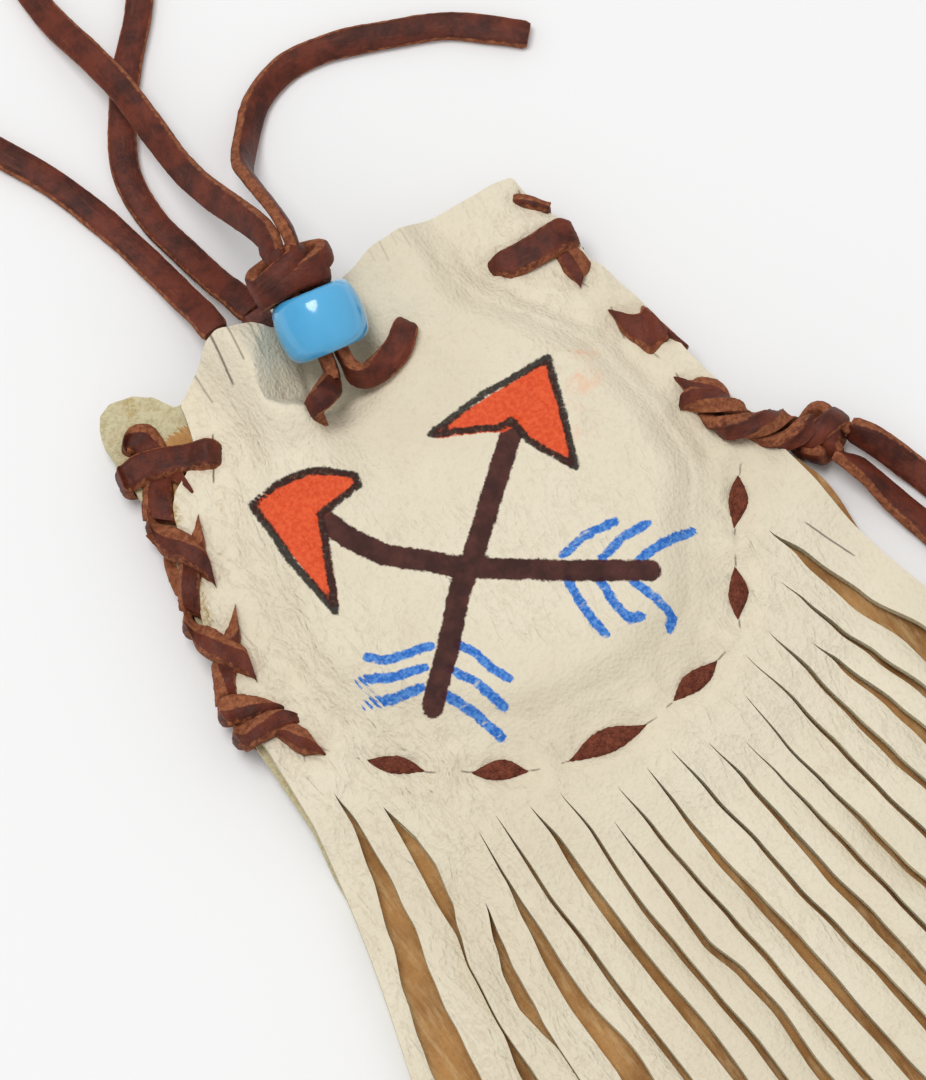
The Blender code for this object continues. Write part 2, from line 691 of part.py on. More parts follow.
def route(points, step):
    """Points at even steps of a smooth curve through a route's own points."""
    points = [Vector(p) for p in points]
    ends = [2 * points[0] - points[1]] + points + [2 * points[-1] - points[-2]]
    fine = []
    for a, b, c, d in zip(ends, ends[1:], ends[2:], ends[3:]):
        for i in range(20):
            t = i / 20
            fine.append(
                0.5 * (2 * b + (c - a) * t + (2 * a - 5 * b + 4 * c - d) * t**2 + (3 * b - a - 3 * c + d) * t**3)
            )
    fine.append(points[-1])
    total = sum((q - p).length for p, q in zip(fine, fine[1:]))
    count = max(2, round(total / step))
    picked, done, target = [fine[0]], 0.0, total / count
    for p, q in zip(fine, fine[1:]):
        done += (q - p).length
        if done >= target and len(picked) < count:
            picked.append(q)
            target += total / count
    return picked + [fine[-1]]


def leaving(centre, way, size, side):
    """Where a tail leaves a knot, to one side of its middle, and its next point."""
    across = side * (LACE_WIDTH / 2 + GAP)
    start = centre + way * (size[1] / 2 + GAP) + across
    return start, start + way * LACE_WIDTH


def tube(name, start, points):
    line = bpy.data.curves.new(name, "CURVE")
    line.dimensions = "3D"
    line.bevel_depth = LACE_WIDTH / 2
    line.bevel_resolution = 2
    line.use_fill_caps = True
    places = [start] + route(points, CORD_STEP)
    spline = line.splines.new("POLY")
    spline.points.add(len(places) - 1)
    for target, place in zip(spline.points, places):
        target.co = (*place, 1.0)
    return object_of(name, line, LACE)


def neck_coil():
    """The rest of the neck cord, wound up: the outer shape of its turns."""
    inner, outer = COIL_MIDDLE - COIL_BAND / 2, COIL_MIDDLE + COIL_BAND / 2
    corner = COIL_HEIGHT / 4
    profile = (
        (inner, corner), (inner + corner, 0), (outer - corner, 0), (outer, corner),
        (outer, COIL_HEIGHT - corner), (outer - corner, COIL_HEIGHT), (inner + corner, COIL_HEIGHT),
        (inner, COIL_HEIGHT - corner),
    )
    bm = bmesh.new()
    verts = [bm.verts.new((r, 0, z)) for r, z in profile]
    edges = [bm.edges.new(pair) for pair in zip(verts, verts[1:] + verts[:1])]
    bmesh.ops.spin(
        bm, geom=verts + edges, cent=(0, 0, 0), axis=(0, 0, 1), angle=math.tau, steps=24, use_merge=True
    )
    bmesh.ops.remove_doubles(bm, verts=bm.verts, dist=0.00001)
    made = mesh_object("neck_coil", bm, LACE)
    made.location = (*COIL_AT, 0)
    return made


def tree_of(sheet):
    """The panel's surfaces before its holes are cut, for the laces to lie on."""
    faces = [tuple(polygon.vertices) for polygon in sheet.data.polygons]
    return BVHTree.FromPolygons([v.co for v in sheet.data.vertices], faces)


def panels():
    top = bead_centre().z
    upright = Vector((0, 1, 0))
    seam = [(hole, upright) for hole in LEFT_HOLES[:-1] + RIGHT_HOLES]
    last, before = LEFT_HOLES[-1], STITCHES[0][0]
    seam.append((last, flat(last[1] - before[1], before[0] - last[0])))
    for a, b in STITCHES:
        seam += [(hole, flat(b[1] - a[1], a[0] - b[0])) for hole in (a, b)]
    seam_holes = slots("seam_holes", seam, -LIFT, top)
    neck_holes = slots("neck_holes", [(hole, upright) for hole in NECK_HOLES], -LIFT, top)
    string = [(STRING_HOLES[0], upright), (STRING_HOLES[1], flat(-STRING_ENTRY[1], STRING_ENTRY[0]))]
    string_holes = slots("string_holes", string, -LIFT, 2 * top)
    back = panel("back_panel", back_low, BUCKSKIN, 1, False)
    front = panel("front_panel", front_low, BUCKSKIN, 2, True)
    cut(back, seam_holes)
    cut(back, neck_holes)
    cut(front, seam_holes)
    cut(front, string_holes)
    return tree_of(front), tree_of(back)


for old in list(bpy.data.objects):
    bpy.data.objects.remove(old)

BUCKSKIN = material("cream_buckskin", (0.77, 0.70, 0.54), 0.85)
LACE = material("red_brown_lace", (0.10, 0.027, 0.015), 0.55)
BEAD = material("sky_blue_bead", (0.11, 0.42, 0.72), 0.15)

FRONT, BACK = panels()
left_seam_lace()
right_seam_lace()
side_knot()
drawstring()
bead()
closing_knot()
neck_loop()
neck_coil()
bead_way, bead_across = bead_axis(), bead_side()
side_way = flat(*SIDE_KNOT_WAY)
side_across = Vector((-side_way.y, side_way.x, 0))
at_bead, at_side = closing_knot_centre(), side_knot_centre()
for name, centre, way, size, across, points in (
    ("drawstring_tail_right", at_bead, bead_way, CLOSING_KNOT, bead_across, RIGHT_TAIL_ROUTE),
    ("drawstring_tail_left", at_bead, bead_way, CLOSING_KNOT, -bead_across, LEFT_TAIL_ROUTE),
    ("side_tail_upper", at_side, side_way, SIDE_KNOT, side_across, UPPER_SIDE_TAIL_ROUTE),
    ("side_tail_lower", at_side, side_way, SIDE_KNOT, -side_across, LOWER_SIDE_TAIL_ROUTE),
):
    start, following = leaving(centre, way, size, across)
    tube(name, start, (following, *points))
for name, index, points in (("neck_cord_left", 0, NECK_LEFT_ROUTE), ("neck_cord_right", 1, NECK_RIGHT_ROUTE)):
    start = neck_end(index) + Vector((0, GAP, 0))
    tube(name, start, (start + Vector((0, LACE_WIDTH, 0)), *points))
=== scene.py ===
import math
import random
import bpy
import bmesh
from mathutils import Matrix, Vector
from mathutils.bvhtree import BVHTree
from mathutils.noise import noise as perlin


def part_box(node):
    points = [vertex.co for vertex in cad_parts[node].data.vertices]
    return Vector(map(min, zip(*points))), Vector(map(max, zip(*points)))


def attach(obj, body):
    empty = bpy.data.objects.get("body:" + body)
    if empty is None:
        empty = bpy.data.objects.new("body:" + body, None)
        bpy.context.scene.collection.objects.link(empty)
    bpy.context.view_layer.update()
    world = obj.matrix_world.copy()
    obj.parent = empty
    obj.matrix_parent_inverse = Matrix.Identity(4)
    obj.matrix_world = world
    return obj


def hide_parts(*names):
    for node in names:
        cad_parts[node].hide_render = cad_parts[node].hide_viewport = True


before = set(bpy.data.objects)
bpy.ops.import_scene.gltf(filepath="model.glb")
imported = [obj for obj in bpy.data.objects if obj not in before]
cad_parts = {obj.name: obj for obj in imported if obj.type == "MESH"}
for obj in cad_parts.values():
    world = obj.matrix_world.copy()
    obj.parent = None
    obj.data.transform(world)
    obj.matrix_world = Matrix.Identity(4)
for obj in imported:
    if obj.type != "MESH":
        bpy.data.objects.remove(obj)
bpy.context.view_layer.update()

print("frame loaded:", len(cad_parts), "nodes")

mm = 0.001
up = Vector((0, 0, 1))


def smooth(t):
    t = max(0.0, min(1.0, t))
    return t * t * (3 - 2 * t)


def bump(t):
    return math.cos(t * math.pi / 2) ** 2 if abs(t) < 1 else 0.0


# even, soft noise in millimetres of the plan
def wobble(x, y, size, seed=0.0):
    return perlin(Vector((x / size, y / size, seed)))


def segmentDistance(x, y, a, b):
    dx, dy = b[0] - a[0], b[1] - a[1]
    t = max(0.0, min(1.0, ((x - a[0]) * dx + (y - a[1]) * dy) / (dx * dx + dy * dy)))
    return math.hypot(x - a[0] - t * dx, y - a[1] - t * dy)


def lineDistance(x, y, line):
    return min(segmentDistance(x, y, a, b) for a, b in zip(line, line[1:]))


# value read from a table of (place, value) pairs, smoothly
def along(table, value):
    if value <= table[0][0]:
        return table[0][1]
    for (a, av), (b, bv) in zip(table, table[1:]):
        if value <= b:
            t = (value - a) / (b - a)
            return av + (bv - av) * (0.5 * t + 0.5 * smooth(t))
    return table[-1][1]


# evenly spaced points of a smooth curve through given ones
def throughPoints(points, step):
    points = [Vector(p) for p in points]
    ends = [2 * points[0] - points[1]] + points + [2 * points[-1] - points[-2]]
    fine = []
    for a, b, c, d in zip(ends, ends[1:], ends[2:], ends[3:]):
        pieces = max(2, int((c - b).length / step * 2))
        for i in range(pieces):
            t = i / pieces
            fine.append(0.5 * (2 * b + (c - a) * t + (2 * a - 5 * b + 4 * c - d) * t * t
                               + (3 * b - a - 3 * c + d) * t ** 3))
    fine.append(points[-1])
    total = sum((q - p).length for p, q in zip(fine, fine[1:]))
    count = max(3, round(total / step))
    picked, done, target = [fine[0]], 0.0, total / count
    for p, q in zip(fine, fine[1:]):
        gap = (q - p).length
        while done + gap >= target and len(picked) < count:
            picked.append(p.lerp(q, (target - done) / gap))
            target += total / count
        done += gap
    return picked + [fine[-1]]


# camera, as the photograph was taken: from the pouch's left foot, looking down
camera = {"azimuth": -34.5, "elevation": 71.0, "distance": 0.450, "lens": 150.0,
          "target": (0.0, 0.015, 0.004), "aside": 0.0066, "raised": 0.0061}


def makeCamera():
    a, e = math.radians(camera["azimuth"]), math.radians(camera["elevation"])
    off = Vector((math.sin(a) * math.cos(e), -math.cos(a) * math.cos(e), math.sin(e)))
    right = Vector((math.cos(a), math.sin(a), 0))
    top = right.cross(-off)
    bpy.ops.object.camera_add(location=(0, 0, 0))
    seen = bpy.context.object
    seen.name = "photoCamera"
    seen.data.lens = camera["lens"]
    seen.data.sensor_width = 36
    seen.data.clip_start = 0.01
    seen.data.clip_end = 20
    turned = Matrix((right, top, off)).transposed().to_4x4()
    place = Vector(camera["target"]) + off * camera["distance"]
    place = place - right * camera["aside"] + top * camera["raised"]
    seen.matrix_world = Matrix.Translation(place) @ turned
    bpy.context.scene.camera = seen


makeCamera()
print("camera placed")


# materials
# a colour as it's read off a screen, 0 to 255, in the shader's own values
def linear(r, g, b):
    shares = [(c / 255 / 12.92) if c <= 10 else ((c / 255 + 0.055) / 1.055) ** 2.4 for c in (r, g, b)]
    return tuple(shares) + (1.0,)


# a short way to write one material's nodes
class Nodes:

    def __init__(self, name):
        self.material = bpy.data.materials.new(name)
        self.material.use_nodes = True
        self.tree = self.material.node_tree
        self.shader = self.tree.nodes["Principled BSDF"]
        self.coords = self.tree.nodes.new("ShaderNodeTexCoord")
        self.place = self.coords.outputs["Object"]
        self.uv = self.coords.outputs["UV"]

    def link(self, a, b):
        self.tree.links.new(a, b)

    def put(self, socket, value):
        if isinstance(value, bpy.types.NodeSocket):
            self.link(value, socket)
        else:
            socket.default_value = value

    def scaled(self, factors, source=None, turn=(0, 0, 0)):
        n = self.tree.nodes.new("ShaderNodeMapping")
        n.inputs["Scale"].default_value = factors
        n.inputs["Rotation"].default_value = turn
        self.link(source or self.place, n.inputs["Vector"])
        return n.outputs[0]

    def noise(self, scale, detail=2.0, rough=0.5, source=None, distortion=0.0):
        n = self.tree.nodes.new("ShaderNodeTexNoise")
        n.inputs["Scale"].default_value = scale
        n.inputs["Detail"].default_value = detail
        n.inputs["Roughness"].default_value = rough
        n.inputs["Distortion"].default_value = distortion
        self.link(source or self.place, n.inputs["Vector"])
        return n.outputs["Fac"]

    def cells(self, scale, feature="F1", source=None, randomness=1.0):
        n = self.tree.nodes.new("ShaderNodeTexVoronoi")
        n.feature = feature
        n.inputs["Scale"].default_value = scale
        n.inputs["Randomness"].default_value = randomness
        self.link(source or self.place, n.inputs["Vector"])
        return n.outputs["Distance"]

    def attribute(self, name):
        n = self.tree.nodes.new("ShaderNodeAttribute")
        n.attribute_name = name
        return n.outputs["Fac"]

    def math(self, kind, a, b=0.0, clamp=False):
        n = self.tree.nodes.new("ShaderNodeMath")
        n.operation = kind
        n.use_clamp = clamp
        self.put(n.inputs[0], a)
        self.put(n.inputs[1], b)
        return n.outputs[0]

    def ramp(self, value, low, high, a=0.0, b=1.0):
        n = self.tree.nodes.new("ShaderNodeMapRange")
        n.interpolation_type = "SMOOTHSTEP"
        self.put(n.inputs["Value"], value)
        n.inputs["From Min"].default_value = low
        n.inputs["From Max"].default_value = high
        n.inputs["To Min"].default_value = a
        n.inputs["To Max"].default_value = b
        return n.outputs["Result"]

    def mix(self, factor, a, b, kind="MIX"):
        n = self.tree.nodes.new("ShaderNodeMix")
        n.data_type = "RGBA"
        n.blend_type = kind
        self.put(n.inputs[0], factor)
        self.put(n.inputs[6], a)
        self.put(n.inputs[7], b)
        return n.outputs[2]

    def relief(self, height, distance, strength=1.0, below=None):
        n = self.tree.nodes.new("ShaderNodeBump")
        n.inputs["Strength"].default_value = strength
        n.inputs["Distance"].default_value = distance
        self.link(height, n.inputs["Height"])
        if below is not None:
            self.link(below, n.inputs["Normal"])
        return n.outputs["Normal"]

    def finish(self, colour, roughness, normal=None, **sockets):
        self.put(self.shader.inputs["Base Color"], colour)
        self.put(self.shader.inputs["Roughness"], roughness)
        if normal is not None:
            self.link(normal, self.shader.inputs["Normal"])
        for name, value in sockets.items():
            self.shader.inputs[name.replace("_", " ")].default_value = value
        return self.material


buckskinLook = {"cream": (226, 215, 191), "pale": (233, 224, 203), "shade": (212, 200, 174),
                "orange": (216, 72, 32), "black": (34, 31, 29), "blue": (44, 104, 188)}
laceLook = {"grain": (106, 46, 29), "dark": (64, 27, 18), "worn": (154, 90, 58), "suede": (164, 102, 68),
            "nap": (114, 62, 40), "redNap": (128, 68, 48), "redDark": (66, 27, 20)}
suedeLook = {"tan": (194, 144, 86), "dark": (148, 102, 54), "pale": (212, 178, 128),
             "edge": (196, 184, 148)}


def creamLeather(printed):
    m = Nodes("creamBuckskinPrinted" if printed else "creamBuckskin")
    broad = m.noise(60, 3, 0.55)
    pores = m.cells(2300, source=m.place)
    grain = m.noise(1500, 3, 0.6)
    lines = m.noise(520, 3, 0.55, source=m.scaled((1.0, 0.42, 1.0), turn=(0, 0, -0.62)), distortion=0.5)
    fold = m.math("ABSOLUTE", m.math("SUBTRACT", lines, 0.5))
    split = m.tree.nodes.new("ShaderNodeSeparateXYZ")
    m.link(m.place, split.inputs[0])
    left = m.ramp(split.outputs[0], -0.006, -0.020)
    where = m.math("MAXIMUM", m.ramp(m.noise(70, 2, 0.5), 0.48, 0.64, 0.08, 0.8),
                   m.math("MULTIPLY", left, 0.9))
    colour = m.mix(m.ramp(broad, 0.30, 0.70), linear(*buckskinLook["shade"]), linear(*buckskinLook["pale"]))
    colour = m.mix(0.66, colour, linear(*buckskinLook["cream"]))
    # painted shade: the cream is darkened along the fine crease lines
    colour = m.mix(m.math("MULTIPLY", m.ramp(fold, 0.0, 0.03, 0.24, 0.0), where), colour,
                   linear(176, 158, 128))
    colour = m.mix(m.ramp(grain, 0.28, 0.50, 0.13, 0.0), colour, linear(176, 160, 130))
    if printed:
        frayed = m.math("MULTIPLY", m.math("SUBTRACT", m.noise(1500, 3, 0.7), 0.5), 0.62)
        dry = m.noise(2300, 2, 0.6)
        brushed = m.noise(1500, 3, 0.7, source=m.scaled((0.35, 1.0, 1.0), turn=(0, 0, 0.15)))

        def ink(name, soft, shade, strength, below):
            reach = m.math("ADD", m.attribute(name), frayed)
            return m.mix(m.math("MULTIPLY", m.ramp(reach, soft, -soft), strength), below, shade)

        smudge = m.math("MULTIPLY", m.ramp(m.attribute("smudge"), 1.0, 0.0),
                        m.ramp(m.noise(330, 4, 0.7), 0.45, 0.7))
        colour = m.mix(m.math("MULTIPLY", smudge, 0.5), colour, linear(238, 150, 100))
        orange = m.mix(m.ramp(dry, 0.35, 0.66), linear(*buckskinLook["orange"]), linear(230, 92, 48))
        blue = m.mix(m.ramp(dry, 0.38, 0.68), linear(*buckskinLook["blue"]), linear(92, 146, 214))
        brown = m.mix(m.ramp(m.noise(420, 3, 0.6), 0.35, 0.7), linear(54, 21, 20), linear(82, 40, 35))
        black = m.mix(m.ramp(dry, 0.48, 0.74), linear(*buckskinLook["black"]), linear(70, 64, 54))
        colour = ink("blueInk", 0.10, blue, m.ramp(brushed, 0.26, 0.42, 0.45, 1.0), colour)
        colour = ink("brownInk", 0.12, brown, 0.98, colour)
        colour = ink("orangeInk", 0.12, orange, 0.98, colour)
        colour = ink("blackInk", 0.12, black, 0.96, colour)
        # cuts and cracks, painted dark as the shadow inside them: how far to the side of the line, only
        # close to it
        aside = m.math("ABSOLUTE", m.math("ADD", m.attribute("cutSide"), m.math("MULTIPLY", frayed, 0.18)))
        cutShadow = m.math("MULTIPLY", m.ramp(aside, 0.17, 0.03), m.ramp(m.attribute("cutNear"), 0.50, 0.0))
        colour = m.mix(m.math("MULTIPLY", cutShadow, 0.80), colour, linear(84, 68, 62))
        fuzzy = m.math("MULTIPLY", m.ramp(m.attribute("fuzz"), 0.9, 0.1),
                       m.ramp(m.noise(1700, 4, 0.8), 0.38, 0.60))
        colour = m.mix(m.math("MULTIPLY", fuzzy, 0.85), colour, linear(166, 138, 74))
    fine = m.relief(grain, 0.00018, 0.85)
    fine = m.relief(pores, 0.00011, 0.65, fine)
    fine = m.relief(m.math("MULTIPLY", m.ramp(fold, 0.0, 0.11), where), 0.00018, 0.55, fine)
    wrinkles = m.noise(330, 3, 0.5, source=m.scaled((1.0, 0.5, 1.0), turn=(0, 0, -0.6)))
    fine = m.relief(m.math("MULTIPLY", wrinkles, m.ramp(left, 0.0, 1.0, 0.24, 1.0)), 0.0009, 0.46, fine)
    fine = m.relief(m.noise(130, 2, 0.5), 0.0010, 0.26, fine)
    return m.finish(colour, m.ramp(broad, 0.3, 0.7, 0.78, 0.88), fine, Specular_IOR_Level=0.22)


def suedeLeather(name, base, dark, pale):
    m = Nodes(name)
    broad = m.noise(120, 4, 0.65)
    nap = m.noise(2400, 4, 0.7)
    streaks = m.noise(1300, 3, 0.7, source=m.scaled((1.0, 0.16, 1.0), turn=(0, 0, 0.12)))
    colour = m.mix(m.ramp(broad, 0.3, 0.7), linear(*dark), linear(*base))
    colour = m.mix(m.ramp(streaks, 0.42, 0.72, 0.0, 0.6), colour, linear(*pale))
    colour = m.mix(m.ramp(nap, 0.3, 0.5, 0.30, 0.0), colour, linear(*dark))
    # towards the open left rim it is mixed to a pale greenish cream
    paleRim = m.math("MULTIPLY", m.ramp(m.attribute("rim"), 1.0, 0.0),
                   m.ramp(m.noise(700, 3, 0.7), 0.25, 0.5, 0.75, 1.0))
    colour = m.mix(paleRim, colour,
                   m.mix(m.ramp(nap, 0.35, 0.6), linear(184, 172, 130), linear(210, 200, 164)))
    gold = m.math("MULTIPLY", m.ramp(m.attribute("fuzz"), 0.9, 0.1),
                  m.ramp(m.noise(1500, 4, 0.8), 0.4, 0.58))
    colour = m.mix(m.math("MULTIPLY", gold, 0.85), colour, linear(178, 148, 84))
    rough = m.relief(nap, 0.00022, 0.8)
    rough = m.relief(streaks, 0.0003, 0.5, rough)
    return m.finish(colour, 0.95, rough, Sheen_Weight=0.18, Sheen_Roughness=0.5)


# u runs round the lace, v along it in lace widths: the grain face is up, the cut edges are suede
def laceLeather(name):
    m = Nodes(name)
    split = m.tree.nodes.new("ShaderNodeSeparateXYZ")
    m.link(m.uv, split.inputs[0])
    u = split.outputs[0]
    # 0 at the middle of a broad face, 1 at the middle of a cut edge
    edge = m.math("ABSOLUTE", m.math("SINE", m.math("MULTIPLY", u, math.tau)))
    ragged = m.noise(1500, 4, 0.75)
    shaken = m.math("MULTIPLY", m.math("SUBTRACT", ragged, 0.5), 0.55)
    edgeMask = m.ramp(m.math("ADD", edge, shaken), 0.66, 0.88)
    napped = m.ramp(m.math("ADD", m.attribute("nap"), shaken), 0.40, 0.60)
    edgeMask = m.math("MAXIMUM", edgeMask, napped)
    red = m.ramp(m.math("ADD", m.attribute("redNap"), shaken), 0.35, 0.65)
    flesh = m.ramp(m.math("COSINE", m.math("MULTIPLY", u, math.tau)), 0.15, -0.15)
    patches = m.noise(300, 4, 0.65)
    pull = m.noise(1.0, 4, 0.7, source=m.scaled((34, 0.9, 1.0), source=m.uv))
    grain = m.noise(1900, 3, 0.65)
    colour = m.mix(m.ramp(patches, 0.32, 0.66), linear(*laceLook["dark"]), linear(*laceLook["grain"]))
    colour = m.mix(m.ramp(pull, 0.52, 0.80, 0.0, 0.32), colour, linear(*laceLook["worn"]))
    colour = m.mix(m.ramp(grain, 0.28, 0.46, 0.30, 0.0), colour, linear(36, 16, 13))
    nap = m.mix(m.ramp(ragged, 0.34, 0.70), linear(*laceLook["nap"]), linear(*laceLook["suede"]))
    hair = m.noise(1.0, 3, 0.8, source=m.scaled((60, 7.0, 1.0), source=m.uv))
    redNap = m.mix(m.ramp(m.math("ADD", m.math("MULTIPLY", ragged, 0.5), m.math("MULTIPLY", hair, 0.5)),
                          0.36, 0.62), linear(*laceLook["redDark"]), linear(*laceLook["redNap"]))
    colour = m.mix(m.math("MULTIPLY", flesh, 0.85), colour, nap)
    colour = m.mix(edgeMask, colour, nap)
    colour = m.mix(red, colour, redNap)
    relief = m.relief(grain, 0.00013, 0.6)
    relief = m.relief(pull, 0.00018, 0.45, relief)
    relief = m.relief(ragged, 0.00025, 0.45, relief)
    rough = m.mix(m.math("MAXIMUM", m.math("MAXIMUM", edgeMask, red), flesh), (0.5, 0.5, 0.5, 1),
                  (0.92, 0.92, 0.92, 1))
    return m.finish(colour, rough, relief, Specular_IOR_Level=0.24)


def knotLeather():
    m = Nodes("knotLace")
    patches = m.noise(380, 4, 0.65)
    grain = m.noise(1900, 3, 0.65)
    colour = m.mix(m.ramp(patches, 0.35, 0.66), linear(*laceLook["dark"]), linear(*laceLook["grain"]))
    colour = m.mix(m.ramp(grain, 0.55, 0.75, 0.0, 0.5), colour, linear(*laceLook["worn"]))
    return m.finish(colour, 0.55, m.relief(grain, 0.00015, 0.6), Specular_IOR_Level=0.4)


def glassyBlue():
    m = Nodes("skyBlueBead")
    depth = m.noise(160, 2, 0.5)
    colour = m.mix(m.ramp(depth, 0.35, 0.65), linear(66, 162, 212), linear(80, 172, 220))
    fine = m.relief(m.noise(420, 2, 0.5), 0.00006, 0.12)
    return m.finish(colour, 0.16, fine, Specular_IOR_Level=0.55, Coat_Weight=0.5, Coat_Roughness=0.06,
                    Subsurface_Weight=0.12, Subsurface_Scale=0.001)


printedGrain = creamLeather(True)
plainGrain = creamLeather(False)
suede = suedeLeather("tanSuede", suedeLook["tan"], suedeLook["dark"], suedeLook["pale"])
cutEdge = suedeLeather("cutEdge", suedeLook["edge"], suedeLook["dark"], suedeLook["pale"])
laceFinish = laceLeather("redBrownLace")
beadFinish = glassyBlue()
print("materials made")


# the pouch's plan, all in millimetres
pouch = {"leather": 1.2, "lift": 1.9, "sag": 1.8, "room": 5.3, "seamBand": 2.1, "puffRun": 6.2,
         "layerGap": 0.4, "tubeX": -11.2, "tubeRise": 2.2, "valleyX": -0.8, "valleyHalf": 4.4,
         "valleyDepth": 4.4, "leftHoles": ((-18.0, 46.5), (-24.5, 35.5), (-26.4, 25.0), (-26.2, 16.0)),
         "stitches": (((-22.8, 10.5), (-18.6, 6.2)), ((-14.9, 3.6), (-10.1, 0.4)),
                      ((-6.4, -0.9), (2.3, -2.2)), ((5.6, -1.9), (11.9, -0.8)),
                      ((16.1, 1.4), (19.1, 6.2)), ((21.4, 9.5), (25.2, 14.0))),
         "rightHoles": ((26.2, 17.8), (26.4, 25.0), (25.0, 35.3), (17.9, 47.0), (24.3, 51.5)),
         "stringHoles": ((-7.6, 42.0), (5.5, 45.4)), "mouthY": 54.5, "fringeY": -57.4, "seamTop": 63.0,
         "tubeHalf": 6.5, "tubeFrom": 30, "tubeRun": 16, "valleyFrom": 39, "valleyRun": 13}
stitchWidths = (2.2, 2.5, 2.9, 2.5, 2.35, 2.35)
stitchEnds = [end for pair in pouch["stitches"] for end in pair]
seamLine = ([(pouch["leftHoles"][0][0], pouch["seamTop"])] + list(pouch["leftHoles"]) + stitchEnds
            + list(pouch["rightHoles"][:4]) + [(pouch["rightHoles"][3][0], pouch["seamTop"])])
bead = {"turn": math.radians(10), "tilt": math.radians(22), "radius": 4.5, "length": 6.5, "travel": 2.0,
        "clear": 0.8, "bore": 2.25, "round": 1.75}
beadWay = Vector((math.sin(bead["turn"]) * math.cos(bead["tilt"]),
                  math.cos(bead["turn"]) * math.cos(bead["tilt"]),
                  math.sin(bead["tilt"])))
beadAcross = Vector((math.cos(bead["turn"]), -math.sin(bead["turn"]), 0))
low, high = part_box("bead")
bead["centre"] = (Vector(low) + Vector(high)) / 2 / mm

